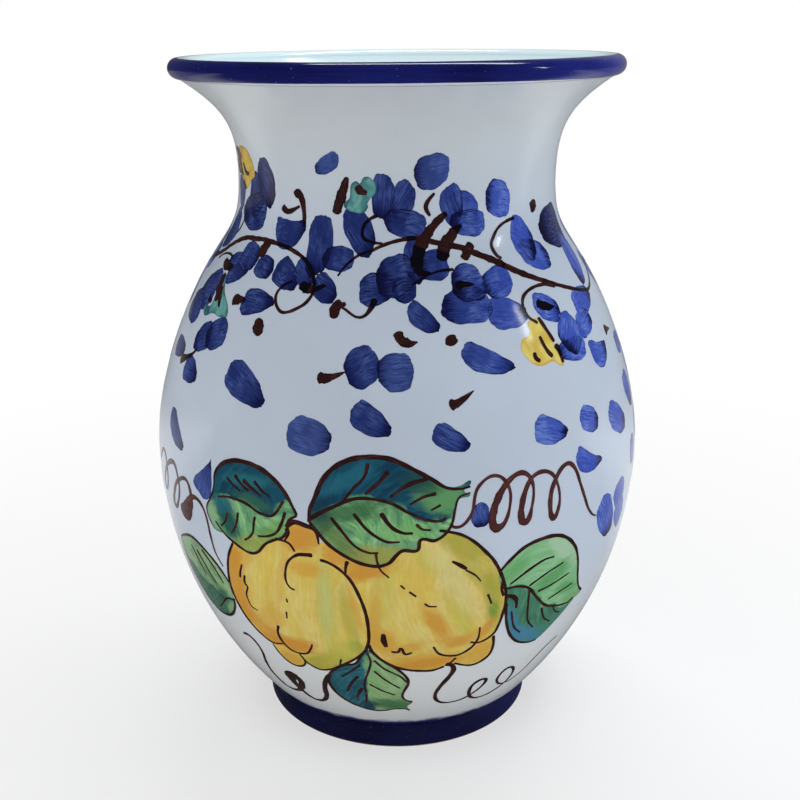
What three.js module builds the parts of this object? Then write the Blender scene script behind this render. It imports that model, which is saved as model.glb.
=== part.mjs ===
// A glazed ceramic flower vase: a low foot, a full belly, a drawn-in neck and a rolled lip.
// The real vase is fired as one body. It is laid out here in the sections a potter throws and
// joins: foot disc, lower belly, shoulder, neck, flared mouth and rolled rim.
// Units are millimetres, +Z is up, and the vase stands on the plane z = 0.
import * as THREE from "three";

// Foot
const footRadius = 62.8;
const footHeight = 14;
const footEdgeRound = 1.5;
const recessRadius = 48;
const recessDepth = 3.5;
const recessDraft = 2;

// Lower belly, from the heel that overhangs the foot to the widest point
const heelOverhang = 3.4;
const heelRound = 3;
const heelAngle = 49.2;
const bellyRise = 116.7;
const bellyRadius = 109.6;
const bellyFullness = 0.343;

// Shoulder, from the widest point to the foot of the neck
const shoulderRise = 81.3;
const shoulderSetIn = 26.1;
const shoulderAngle = 122.2;
const shoulderFullness = 0.301;

// Neck, from the shoulder up to the narrowest point
const neckRise = 37;
const neckSetIn = 14.6;
const neckFullness = 0.473;

// Mouth, flaring from the narrowest point to the plane under the roll
const mouthRise = 42.6;
const mouthReach = 22.9;
const mouthAngle = 33.6;
const mouthFullness = 0.454;

// Rolled rim and the wall that every section shares
const rollRadius = 4.2;
const wall = 6.5;

// How finely the turned shapes are divided
const facetsRound = 60;
const stepsPerCurve = 9;
const stepsPerRoll = 15;
const stepsPerRound = 3;
const leastStep = 0.5;

// Stations that follow from the sizes above
const footTop = footHeight;
const heelRadius = footRadius + heelOverhang;
const bellyHeight = footTop + bellyRise;
const shoulderRadius = bellyRadius - shoulderSetIn;
const shoulderHeight = bellyHeight + shoulderRise;
const waistRadius = shoulderRadius - neckSetIn;
const waistHeight = shoulderHeight + neckRise;
const lipRadius = waistRadius + mouthReach;
const lipHeight = waistHeight + mouthRise;

const upright = 90;

// Unit direction in the radius-height plane, turned by degrees from the outward radius.
function direction(degrees) {
  const turn = THREE.MathUtils.degToRad(degrees);
  return new THREE.Vector2(Math.cos(turn), Math.sin(turn));
}

// Smooth stretch of outline between two stations, leaving and arriving at the given angles.
// Fullness is the reach of each handle as a share of the straight distance.
function stretch(from, to, leaving, arriving, fullness) {
  const reach = fullness * from.distanceTo(to);
  const leave = from.clone().addScaledVector(direction(leaving), reach);
  const arrive = to.clone().addScaledVector(direction(arriving), -reach);
  return new THREE.CubicBezierCurve(from, leave, arrive, to);
}

// Points of a round corner or roll about a centre, from one angle to another.
function arc(centre, radius, startDegrees, endDegrees, steps) {
  const points = [];
  for (let i = 0; i <= steps; i += 1) {
    const degrees = THREE.MathUtils.lerp(startDegrees, endDegrees, i / steps);
    points.push(centre.clone().addScaledVector(direction(degrees), radius));
  }
  return points;
}

// The outer skin from heel to lip, and the inner skin one wall thickness inside it.
function skins() {
  const heel = outward(heelRadius, heelCentre().y + heelRound * direction(heelAngle - upright).y);
  const belly = outward(bellyRadius, bellyHeight);
  const shoulder = outward(shoulderRadius, shoulderHeight);
  const waist = outward(waistRadius, waistHeight);
  const lip = outward(lipRadius, lipHeight);
  const curves = [
    stretch(heel, belly, heelAngle, upright, bellyFullness),
    stretch(belly, shoulder, upright, shoulderAngle, shoulderFullness),
    stretch(shoulder, waist, shoulderAngle, upright, neckFullness),
    stretch(waist, lip, upright, mouthAngle, mouthFullness),
  ];
  const outer = [];
  const inner = [];
  curves.forEach((curve, index) => {
    for (let i = index === 0 ? 0 : 1; i <= stepsPerCurve; i += 1) {
      const point = curve.getPoint(i / stepsPerCurve);
      const along = curve.getTangent(i / stepsPerCurve);
      outer.push(point);
      inner.push(outward(point.x - wall * along.y, point.y + wall * along.x));
    }
  });
  const run = direction(heelAngle);
  const drop = (inner[0].y - footTop) / run.y;
  inner.unshift(inner[0].clone().addScaledVector(run, -drop));
  return { outer, inner };
}

function outward(radius, height) {
  return new THREE.Vector2(radius, height);
}

// Centre of the rounded heel, which touches the joint plane on top of the foot.
function heelCentre() {
  const offset = heelRound * direction(heelAngle - upright).x;
  return outward(heelRadius - offset, footTop + heelRound);
}

// The part of a rising line between two heights, with its ends set exactly on them.
function between(line, low, high) {
  const middle = line.filter((p) => p.y > low + leastStep && p.y < high - leastStep);
  return [atHeight(line, low), ...middle, atHeight(line, high)];
}

function atHeight(line, height) {
  const above = Math.max(1, line.findIndex((p) => p.y >= height));
  const a = line[above - 1];
  const b = line[above];
  const share = (height - a.y) / (b.y - a.y);
  return outward(THREE.MathUtils.lerp(a.x, b.x, share), height);
}

// A turned piece: a closed profile spun round the upright axis.
function turned(name, profile, material) {
  const geometry = new THREE.LatheGeometry([...profile, profile[0].clone()], facetsRound);
  const mesh = new THREE.Mesh(geometry, material);
  mesh.name = name;
  mesh.rotation.x = Math.PI / 2;
  return mesh;
}

// The foot: a solid disc with a rounded lower edge and a shallow recess underneath.
function footProfile() {
  const edge = outward(footRadius - footEdgeRound, footEdgeRound);
  return [
    outward(0, recessDepth),
    outward(recessRadius - recessDraft, recessDepth),
    outward(recessRadius, 0),
    ...arc(edge, footEdgeRound, -upright, 0, stepsPerRound),
    outward(footRadius, footTop),
    outward(0, footTop),
  ];
}

// The lower belly: an open wall with a rounded heel, cut flat at the foot and the widest point.
function lowerBellyProfile({ outer, inner }) {
  const inside = between(inner, footTop, bellyHeight);
  return [
    inside[0],
    ...arc(heelCentre(), heelRound, -upright, heelAngle - upright, stepsPerRound),
    ...outer.filter((p) => p.y > outer[0].y && p.y < bellyHeight - leastStep),
    outward(bellyRadius, bellyHeight),
    ...inside.slice(1).reverse(),
  ];
}

// An open wall between two joint planes, which meets its neighbours on flat rings.
function wallProfile({ outer, inner }, low, high) {
  return [...between(outer, low, high), ...between(inner, low, high).reverse()];
}

// The rim: a round roll that stands on the neck and runs into its inner skin.
function rimProfile({ inner }) {
  const centre = outward(lipRadius, lipHeight + rollRadius);
  return [
    atHeight(inner, lipHeight),
    ...arc(centre, rollRadius, -upright, 2 * upright, stepsPerRoll),
  ];
}

function glaze(color, roughness) {
  return new THREE.MeshStandardMaterial({ color, roughness, metalness: 0 });
}

const skin = skins();
const shoulderWall = wallProfile(skin, bellyHeight, shoulderHeight);
const neckWall = wallProfile(skin, shoulderHeight, waistHeight);
const mouthWall = wallProfile(skin, waistHeight, lipHeight);

const vase = new THREE.Group();
vase.name = "flower_vase";
vase.add(turned("foot", footProfile(), glaze(0x1d2143, 0.3)));
vase.add(turned("lower_belly", lowerBellyProfile(skin), glaze(0xd2d8e4, 0.12)));
vase.add(turned("shoulder", shoulderWall, glaze(0xc9d3ea, 0.12)));
vase.add(turned("neck", neckWall, glaze(0xccd4e6, 0.12)));
vase.add(turned("mouth", mouthWall, glaze(0xd6dce7, 0.12)));
vase.add(turned("rim", rimProfile(skin), glaze(0x232c6b, 0.1)));

export default vase;
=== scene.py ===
"""Looks of a hand-painted maiolica flower vase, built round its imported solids.

The glazed body, the rolled rim and the brushed foot are fine turned meshes that stand for the
CAD sections. The painting is laid over them as films of glaze colour a few hundredths of a
millimetre thick: petals, lemons, leaves and blossoms as filled outlines, the drawing as ribbons
of varying width. Everything is in metres, +Z up, with the vase standing on z = 0 and its painted
front facing -Y. Motifs are drawn on the unrolled wall in millimetres: x runs round the vase at
its widest radius, 0 at the front and growing to the right, and z is the height.
"""

import logging
import math
from dataclasses import dataclass, field
from enum import Enum

import bpy
import numpy as np
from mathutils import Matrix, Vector
from mathutils.geometry import delaunay_2d_cdt


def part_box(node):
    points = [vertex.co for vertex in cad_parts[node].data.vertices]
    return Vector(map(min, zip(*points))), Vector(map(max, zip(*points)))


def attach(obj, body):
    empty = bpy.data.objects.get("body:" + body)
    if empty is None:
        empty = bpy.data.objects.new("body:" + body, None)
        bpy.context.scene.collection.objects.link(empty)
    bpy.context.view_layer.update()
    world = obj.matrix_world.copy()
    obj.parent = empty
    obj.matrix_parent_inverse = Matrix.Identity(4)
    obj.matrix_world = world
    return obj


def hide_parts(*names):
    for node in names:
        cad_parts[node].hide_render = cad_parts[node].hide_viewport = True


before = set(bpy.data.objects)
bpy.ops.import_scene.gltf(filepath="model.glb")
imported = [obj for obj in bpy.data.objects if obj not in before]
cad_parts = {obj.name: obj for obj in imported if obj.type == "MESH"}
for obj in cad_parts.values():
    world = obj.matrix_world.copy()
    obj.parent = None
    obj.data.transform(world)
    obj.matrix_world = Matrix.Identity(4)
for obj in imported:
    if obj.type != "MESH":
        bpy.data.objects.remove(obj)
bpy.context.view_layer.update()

MM = 0.001
WALL_RADIUS = 109.6
UPRIGHT = 90.0
TINY = 1e-9
LEAST_SPAN = 1e-12
LOG = logging.getLogger("vase")

Array = np.ndarray
Colour = tuple[int, int, int]
Spot = tuple[float, float]
Way = tuple[Spot, ...]
Piece = bpy.types.Object
Socket = bpy.types.NodeSocket
Sockets = dict[str, Socket]
Faces = list[tuple[int, ...]]


def direction(degrees: float) -> Array:
    """Unit vector in a plane, turned by degrees from its first axis."""
    turn = math.radians(degrees)
    return np.array([math.cos(turn), math.sin(turn)])


def smooth(value: Array | float) -> Array | float:
    """Smooth step of a value clamped to 0..1."""
    t = np.clip(value, 0.0, 1.0)
    return t * t * (3.0 - 2.0 * t)


def flow(points: Way | Array, step: float, closed: bool = False) -> Array:
    """Draws a smooth line through the given spots.

    Args:
        points: Spots that the line passes through.
        step: Rough distance between samples.
        closed: True for a ring.

    Returns:
        The samples; a ring does not repeat its first one.
    """
    p = np.array(points, dtype=float)
    if closed:
        p = np.vstack([p[-1], p, p[0], p[1]])
    else:
        p = np.vstack([2 * p[0] - p[1], p, 2 * p[-1] - p[-2]])
    out = []
    for a, b, c, d in zip(p[:-3], p[1:-2], p[2:-1], p[3:]):
        reach = np.linalg.norm(c - b)
        start = (c - a) / max(np.linalg.norm(c - a), TINY) * reach
        end = (d - b) / max(np.linalg.norm(d - b), TINY) * reach
        count = max(2, round(reach / step))
        t = (np.arange(count) / count)[:, None]
        out.append(
            (2 * t**3 - 3 * t**2 + 1) * b
            + (t**3 - 2 * t**2 + t) * start
            + (3 * t**2 - 2 * t**3) * c
            + (t**3 - t**2) * end
        )
    if not closed:
        out.append(p[-2:-1])
    return np.vstack(out)


def inside(points: Array, ring: Array) -> Array:
    """Tells which points lie inside a closed outline."""
    x, z = points[:, 0:1], points[:, 1:2]
    ax, az = ring[:, 0], ring[:, 1]
    bx, bz = np.roll(ax, -1), np.roll(az, -1)
    rise = np.where(bz == az, LEAST_SPAN, bz - az)
    crosses = ((az > z) != (bz > z)) & (x < (bx - ax) * (z - az) / rise + ax)
    return crosses.sum(axis=1) % 2 == 1


def ring_distance(points: Array, ring: Array) -> Array:
    """Distance of each point to a closed outline."""
    a, b = ring, np.roll(ring, -1, axis=0)
    span = b - a
    away = points[:, None, :] - a[None, :, :]
    share = np.clip((away * span).sum(-1) / np.maximum((span**2).sum(-1), LEAST_SPAN), 0.0, 1.0)
    return np.linalg.norm(away - share[..., None] * span, axis=-1).min(axis=1)


@dataclass(frozen=True)
class Outline:
    """Outer outline of the turned body, from the heel over the foot to the plane under the roll.

    Heights and radii that the CAD sections carry are read from their boxes. Angles are in
    degrees from the outward radius; a fullness is a curve handle as a share of its chord.
    """

    heel_overhang: float = 3.4 * MM
    heel_round: float = 3.0 * MM
    heel_angle: float = 49.2
    belly_fullness: float = 0.343
    shoulder_angle: float = 122.2
    shoulder_fullness: float = 0.301
    neck_set_in: float = 14.6 * MM
    neck_fullness: float = 0.473
    mouth_angle: float = 33.6
    mouth_fullness: float = 0.454
    wall: float = 6.5 * MM
    samples: int = 120

    def foot_radius(self) -> float:
        """Radius of the foot."""
        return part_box("foot")[1][0]

    def foot_top(self) -> float:
        """Height at which the body starts."""
        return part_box("foot")[1][2]

    def belly_radius(self) -> float:
        """Widest radius of the body."""
        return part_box("lower_belly")[1][0]

    def lip(self) -> tuple[float, float]:
        """Radius and height of the body's upper edge, under the roll."""
        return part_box("mouth")[1][0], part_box("mouth")[1][2]

    def inner_skin(self) -> Array:
        """Points (radius, height) of the inner skin, one wall inside the outline."""
        points, tangents = self.curve()
        return points + self.wall * np.stack([-tangents[:, 1], tangents[:, 0]], axis=1)

    def heel_centre(self) -> Array:
        """Centre of the rounded heel in the radius-height plane."""
        reach = self.heel_round * direction(self.heel_angle - UPRIGHT)[0]
        radius = self.foot_radius() + self.heel_overhang - reach
        return np.array([radius, self.foot_top() + self.heel_round])

    def curve(self) -> tuple[Array, Array]:
        """Samples the outline.

        Returns:
            Points (radius, height) rising from heel to lip, and unit tangents at them.
        """
        heel = self.heel_centre() + self.heel_round * direction(self.heel_angle - UPRIGHT)
        belly = np.array([self.belly_radius(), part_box("lower_belly")[1][2]])
        shoulder = np.array([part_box("neck")[1][0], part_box("shoulder")[1][2]])
        waist = np.array([shoulder[0] - self.neck_set_in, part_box("neck")[1][2]])
        lip = np.array(self.lip())
        spans = (
            (heel, belly, self.heel_angle, UPRIGHT, self.belly_fullness),
            (belly, shoulder, UPRIGHT, self.shoulder_angle, self.shoulder_fullness),
            (shoulder, waist, self.shoulder_angle, UPRIGHT, self.neck_fullness),
            (waist, lip, UPRIGHT, self.mouth_angle, self.mouth_fullness),
        )
        points, tangents = [], []
        for index, (start, end, leaving, arriving, fullness) in enumerate(spans):
            reach = fullness * float(np.linalg.norm(end - start))
            leave = start + reach * direction(leaving)
            arrive = end - reach * direction(arriving)
            t = np.linspace(0.0, 1.0, self.samples)[1 if index else 0 :, None]
            points.append(
                (1 - t) ** 3 * start
                + 3 * (1 - t) ** 2 * t * leave
                + 3 * (1 - t) * t**2 * arrive
                + t**3 * end
            )
            slope = (
                (1 - t) ** 2 * (leave - start)
                + 2 * (1 - t) * t * (arrive - leave)
                + t**2 * (end - arrive)
            )
            tangents.append(slope / np.linalg.norm(slope, axis=1)[:, None])
        return np.vstack(points), np.vstack(tangents)


@dataclass
class Skin:
    """The glazed outer surface as thrown: the outline with a potter's slight unevenness.

    The mouth tilts by up to mouth_tilt each way between the two tilt heights.
    """

    outline: Outline
    inset: float = 0.15 * MM
    wobble: float = 0.12 * MM
    mouth_tilt: float = 0.9 * MM
    tilt_starts: float = 250.0 * MM
    tilt_full: float = 290.0 * MM
    high_side: float = math.radians(20.0)
    mouth_reach: float = 91.0 * MM
    tilt_middle: float = 1.05
    tilt_most: float = 2.1
    long_wave: float = 31.0 * MM
    short_wave: float = 17.0 * MM
    few_waves: int = 3
    many_waves: int = 5
    wave_start: float = 1.1
    short_share: float = 0.6
    drift_share: float = 0.55
    radius: Array = field(init=False)
    height: Array = field(init=False)
    lean: Array = field(init=False)

    def __post_init__(self) -> None:
        """Samples the outline once."""
        points, tangents = self.outline.curve()
        self.height = points[:, 1]
        self.radius = points[:, 0]
        self.lean = np.arctan2(-tangents[:, 0], tangents[:, 1])

    def radius_at(self, z: Array) -> Array:
        """Nominal radius of the outline at the given heights."""
        return np.interp(z, self.height, self.radius)

    def lean_at(self, z: Array) -> Array:
        """Angle by which the surface faces upward at the given heights, in radians."""
        return np.interp(z, self.height, self.lean)

    def normal_at(self, theta: Array, z: Array) -> Array:
        """Outward unit normals at angle theta (0 at the front, growing to the right)."""
        lean = self.lean_at(z)
        out, up = np.cos(lean), np.sin(lean)
        return np.stack([out * np.sin(theta), -out * np.cos(theta), up], axis=-1)

    def settle(self, points: Array) -> Array:
        """Lowers the left side of the mouth a little, as the rim in the photograph sits."""
        x, y, z = points[..., 0], points[..., 1], points[..., 2]
        ramp = smooth((z - self.tilt_starts) / (self.tilt_full - self.tilt_starts))
        side = (x * math.cos(self.high_side) + y * math.sin(self.high_side)) / self.mouth_reach
        moved = points.copy()
        moved[..., 2] = z - self.mouth_tilt * ramp * np.clip(self.tilt_middle - side, 0.0, self.tilt_most)
        return moved

    def point(self, theta: Array, z: Array, lift: Array | float) -> Array:
        """Points on the surface, lifted along the normal.

        Args:
            theta: Angles about the axis, 0 at the painted front.
            z: Heights on the outline.
            lift: Distance outward from the glaze.

        Returns:
            An array of xyz points.
        """
        drift = np.sin(self.few_waves * theta + self.wave_start) * np.sin(z / self.long_wave)
        short = np.sin(self.many_waves * theta + z / self.short_wave)
        drift = drift + self.short_share * short
        wobble = self.wobble * (1.0 + self.drift_share * drift)
        radius = self.radius_at(z) - self.inset - wobble
        flat = np.stack([radius * np.sin(theta), -radius * np.cos(theta), z], axis=-1)
        return self.settle(flat + self.normal_at(theta, z) * np.asarray(lift)[..., None])


def mesh_object(name: str, verts: Array, faces: Faces) -> Piece:
    """Makes a smooth-shaded mesh object.

    Args:
        name: Name of the object and its mesh.
        verts: Vertex positions in metres.
        faces: Vertex indices of each face, facing out.

    Returns:
        The object, linked to the scene.
    """
    mesh = bpy.data.meshes.new(name)
    mesh.from_pydata(verts.tolist(), [], faces)
    mesh.polygons.foreach_set("use_smooth", [True] * len(mesh.polygons))
    made = bpy.data.objects.new(name, mesh)
    bpy.context.scene.collection.objects.link(made)
    return made


def face_out(made: Piece, normals: Array) -> None:
    """Gives every vertex the normal of the skin, so that highlights run on over the paint."""
    made.data.normals_split_custom_set_from_vertices(normals.tolist())


def note(made: Piece, name: str, values: Array, domain: str = "POINT") -> None:
    """Stores numbers or vectors on a mesh for its shader.

    Args:
        made: The mesh object.
        name: Name of the attribute.
        values: One number or one xyz row for each element.
        domain: POINT or CORNER.
    """
    kind, key = ("FLOAT_VECTOR", "vector") if values.ndim == 2 else ("FLOAT", "value")
    layer = made.data.attributes.new(name, kind, domain)
    layer.data.foreach_set(key, values.astype(np.float32).ravel())


def spin(name: str, profile: Array, turns: int, closed: bool) -> Piece:
    """Turns a profile round the axis into one closed mesh.

    Args:
        name: Name of the piece.
        profile: Points (radius, height), counter-clockwise seen with the radius to the right.
        turns: Number of divisions round the axis.
        closed: True for a ring profile, False for one that starts and ends on the axis.

    Returns:
        The turned object.
    """
    ring = profile if closed else profile[1:-1]
    theta = np.linspace(0.0, 2 * math.pi, turns, endpoint=False)
    verts = np.array([[r * math.sin(t), -r * math.cos(t), z] for t in theta for r, z in ring])
    count = len(ring)
    faces: Faces = []
    for i in range(turns):
        here, there = i * count, ((i + 1) % turns) * count
        for j in range(count if closed else count - 1):
            k = (j + 1) % count
            faces.append((here + j, there + j, there + k, here + k))
    if not closed:
        first, last = len(verts), len(verts) + 1
        verts = np.vstack([verts, [0, 0, profile[0][1]], [0, 0, profile[-1][1]]])
        for i in range(turns):
            here, there = i * count, ((i + 1) % turns) * count
            faces.append((first, there, here))
            faces.append((last, here + count - 1, there + count - 1))
    return mesh_object(name, verts, faces)


def arc(centre: Array, radius: float, start: float, end: float, steps: int) -> Array:
    """Points on a round, from start to end degrees about a centre."""
    return np.array([centre + radius * direction(a) for a in np.linspace(start, end, steps + 1)])


def linear(colour: Colour) -> tuple[float, ...]:
    """Scene-linear colour of an sRGB triple in 0..255, with an alpha of 1."""
    shares = (value / 255.0 for value in colour)
    return *(c / 12.92 if c <= 0.04045 else ((c + 0.055) / 1.055) ** 2.4 for c in shares), 1.0


class Graph:
    """A shader node tree with short calls for adding and linking nodes."""

    def __init__(self, tree: bpy.types.NodeTree) -> None:
        """Keeps the tree to build in."""
        self.tree = tree

    def put(self, value: object, socket: Socket) -> None:
        """Links a socket, or sets a plain value, into an input."""
        if isinstance(value, Socket):
            self.tree.links.new(value, socket)
        else:
            socket.default_value = value

    def node(
        self, kind: str, inputs: dict[str | int, object] | None = None, **props: object
    ) -> bpy.types.Node:
        """Adds a node, sets its properties, and links or sets its inputs.

        Args:
            kind: Node type without the ShaderNode prefix.
            inputs: Values or output sockets by input name or number.
            **props: Node properties to set.

        Returns:
            The new node.
        """
        made = self.tree.nodes.new("ShaderNode" + kind)
        for key, value in props.items():
            setattr(made, key, value)
        for key, value in (inputs or {}).items():
            self.put(value, made.inputs[key])
        return made

    def math(self, operation: str, first: object, second: object = 0.0, third: object = 0.0) -> Socket:
        """Output of a maths node on up to three values or sockets."""
        inputs = {0: first, 1: second, 2: third}
        return self.node("Math", inputs, operation=operation).outputs[0]

    def times(self, first: object, second: object) -> Socket:
        """Product of two values or sockets."""
        return self.math("MULTIPLY", first, second)

    def minus(self, first: object, second: object) -> Socket:
        """Difference of two values or sockets."""
        return self.math("SUBTRACT", first, second)

    def scaled(self, value: object, factor: object, added: object) -> Socket:
        """A value times a factor, plus another value."""
        return self.math("MULTIPLY_ADD", value, factor, added)

    def total(self, *values: object) -> Socket:
        """Sum of several values or sockets."""
        result = values[0]
        for value in values[1:]:
            result = self.math("ADD", result, value)
        return result

    def ramp(self, value: object, low: object, high: object) -> Socket:
        """Smooth step of a value from low..high to 0..1."""
        inputs = {"Value": value, "From Min": low, "From Max": high}
        return self.node("MapRange", inputs, interpolation_type="SMOOTHSTEP").outputs["Result"]

    def noise(self, place: object, scale: float, detail: float = 2.0, rough: float = 0.5) -> Socket:
        """Value of a noise texture."""
        inputs = {"Vector": place, "Scale": scale, "Detail": detail, "Roughness": rough}
        return self.node("TexNoise", inputs).outputs["Fac"]

    def blend(self, share: object, first: object, second: object) -> Socket:
        """Mix of two colours or sockets: first where share is 0, second where it is 1."""
        made = self.node("Mix", data_type="RGBA")
        for slot, value in zip((0, 6, 7), (share, first, second)):
            self.put(linear(value) if isinstance(value, tuple) else value, made.inputs[slot])
        return made.outputs[2]

    def stored(self, name: str) -> Socket:
        """A vector stored on the mesh."""
        return self.node("Attribute", attribute_name=name).outputs["Vector"]

    def amount(self, name: str) -> Socket:
        """A number stored on the mesh."""
        return self.node("Attribute", attribute_name=name).outputs["Fac"]

    def parts(self, vector: object) -> tuple[Socket, ...]:
        """The x, y and z outputs of a vector."""
        return tuple(self.node("SeparateXYZ", {0: vector}).outputs)

    def vector(self, x: object, y: object, z: object = 0.0) -> Socket:
        """A vector from three values."""
        return self.node("CombineXYZ", {0: x, 1: y, 2: z}).outputs[0]

    def length(self, vector: object) -> Socket:
        """Length of a vector."""
        return self.node("VectorMath", {0: vector}, operation="LENGTH").outputs["Value"]

    def choose(self, share: object, first: object, second: object) -> Socket:
        """Plain mix of two numbers: first where share is 0, second where it is 1."""
        return self.node("Mix", {0: share, 2: first, 3: second}, data_type="FLOAT").outputs[0]

    def use(self, effect: "Effect", **inputs: object) -> Sockets:
        """Adds a shared effect and returns its outputs by name."""
        made = self.node("Group", node_tree=effect.tree())
        for key, value in inputs.items():
            self.put(value, made.inputs[key])
        return {socket.name: socket for socket in made.outputs}


def new_material(name: str) -> tuple[bpy.types.Material, Graph, bpy.types.Node]:
    """A new material, its graph and its Principled shader."""
    material = bpy.data.materials.new(name)
    material.use_nodes = True
    return material, Graph(material.node_tree), material.node_tree.nodes["Principled BSDF"]


class Effect:
    """A node group shared by several materials, made the first time it is used."""

    name = "effect"
    inputs: tuple[tuple[str, str, object], ...] = ()
    outputs: tuple[str, ...] = ()

    def tree(self) -> bpy.types.NodeTree:
        """The node group, built once."""
        found = bpy.data.node_groups.get(self.name)
        if found:
            return found
        tree = bpy.data.node_groups.new(self.name, "ShaderNodeTree")
        for name, kind, value in self.inputs:
            kind = "NodeSocket" + kind
            socket = tree.interface.new_socket(name=name, in_out="INPUT", socket_type=kind)
            socket.default_value = value
        for name in self.outputs:
            tree.interface.new_socket(name=name, in_out="OUTPUT", socket_type="NodeSocketFloat")
        graph = Graph(tree)
        source = tree.nodes.new("NodeGroupInput")
        sink = tree.nodes.new("NodeGroupOutput")
        made = self.wire(graph, {socket.name: socket for socket in source.outputs if socket.name})
        for name, socket in zip(self.outputs, made):
            tree.links.new(socket, sink.inputs[name])
        return tree

    def wire(self, graph: Graph, given: Sockets) -> tuple[Socket, ...]:
        """Adds the nodes of the group.

        Args:
            graph: The group's own graph.
            given: Input sockets by name.

        Returns:
            The sockets for the outputs, in order.
        """
        raise NotImplementedError


class BrushStreaks(Effect):
    """Hair marks that a loaded brush leaves along its stroke."""

    name = "brush_streaks"
    inputs = (("Stroke", "Vector", (0, 0, 0)), ("Fineness", "Float", 1.0), ("Length", "Float", 8.0))
    outputs = ("Streak", "Cloud")
    cloud_scale = 0.12
    seed_step = 17.3

    def wire(self, graph: Graph, given: Sockets) -> tuple[Socket, ...]:
        """Stretches noise along the stroke and lets it drift with softer clouds."""
        across, along, seed = graph.parts(given["Stroke"])
        shift = graph.times(seed, self.seed_step)
        broad = (graph.times(value, self.cloud_scale) for value in (across, along))
        cloud = graph.noise(graph.vector(*broad, shift), 1.0, 2.0)
        swerve = graph.scaled(cloud, 3.0, across)
        side = graph.times(swerve, given["Fineness"])
        run = graph.math("DIVIDE", graph.times(along, given["Fineness"]), given["Length"])
        hairs = graph.noise(graph.vector(side, run, shift), 1.0, 3.0, 0.62)
        return graph.ramp(hairs, 0.34, 0.66), graph.ramp(cloud, 0.36, 0.64)


class PooledEdge(Effect):
    """Darker line where wet colour gathers at the border of a stroke."""

    name = "pooled_edge"
    inputs = (("Edge", "Float", 0.0), ("Width", "Float", 0.8), ("Stroke", "Vector", (0, 0, 0)))
    outputs = ("Pool",)
    least_reach = 0.05

    def wire(self, graph: Graph, given: Sockets) -> tuple[Socket, ...]:
        """Fades with the distance to the border, broken up by noise."""
        uneven = graph.noise(given["Stroke"], 0.35, 2.0)
        reach = graph.times(given["Width"], graph.scaled(uneven, 2.4, -0.2))
        reach = graph.math("MAXIMUM", reach, self.least_reach)
        return (graph.minus(1.0, graph.ramp(given["Edge"], 0.0, reach)),)


class WashPatch(Effect):
    """Soft oval of colour brushed into a motif, with a streaky border."""

    name = "wash_patch"
    inputs = (
        ("Place", "Vector", (0, 0, 0)),
        ("Centre", "Vector", (0, 0, 0)),
        ("Reach", "Vector", (1, 1, 1)),
        ("Turn", "Float", 0.0),
        ("Softness", "Float", 0.5),
    )
    outputs = ("Mask",)

    def wire(self, graph: Graph, given: Sockets) -> tuple[Socket, ...]:
        """Measures how far the place is from the centre, in units of the reach."""
        away = graph.node("VectorMath", {0: given["Place"], 1: given["Centre"]}, operation="SUBTRACT")
        turn = {"Vector": away.outputs[0], "Angle": given["Turn"]}
        turned = graph.node("VectorRotate", turn, rotation_type="Z_AXIS").outputs[0]
        scaled = graph.node("VectorMath", {0: turned, 1: given["Reach"]}, operation="DIVIDE")
        size = graph.length(scaled.outputs[0])
        across, along, _ = graph.parts(turned)
        stretched = graph.vector(graph.times(across, 0.13), graph.times(along, 0.5))
        rough = graph.minus(graph.noise(stretched, 1.0, 3.0), 0.5)
        size = graph.scaled(rough, 1.1, size)
        low = graph.minus(1.0, given["Softness"])
        high = graph.total(1.0, given["Softness"])
        return (graph.minus(1.0, graph.ramp(size, low, high)),)


class GlazeCoat(Effect):
    """Slow drift, fine specks and the faint unevenness of a fired glaze."""

    name = "glaze_coat"
    inputs = (("Position", "Vector", (0, 0, 0)),)
    outputs = ("Drift", "Speck", "Height")

    def wire(self, graph: Graph, given: Sockets) -> tuple[Socket, ...]:
        """Noise at three sizes on the object's own coordinates."""
        place = given["Position"]
        drift = graph.ramp(graph.noise(place, 13.0, 3.0), 0.34, 0.68)
        speck = graph.ramp(graph.noise(place, 520.0, 1.0), 0.72, 0.80)
        slow = graph.noise(place, 42.0, 2.0)
        fine = graph.noise(place, 210.0, 2.0)
        return drift, speck, graph.scaled(fine, 0.16, slow)


BRUSH, POOL, WASH, COAT = BrushStreaks(), PooledEdge(), WashPatch(), GlazeCoat()


@dataclass(frozen=True)
class Wash:
    """A soft oval of another colour in a motif, in millimetres on the unrolled wall."""

    x: float
    z: float
    wide: float
    tall: float
    turn: float
    colour: Colour
    strength: float = 0.8
    softness: float = 0.5

    def over(self, graph: Graph, place: object, colour: object) -> Socket:
        """Adds this wash over a colour and returns the result."""
        mask = graph.use(
            WASH, Place=place, Centre=(self.x, self.z, 0.0),
            Reach=(self.wide / 2, self.tall / 2, 1.0), Turn=-math.radians(self.turn),
            Softness=self.softness,
        )["Mask"]
        return graph.blend(graph.times(mask, self.strength), colour, self.colour)


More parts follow.
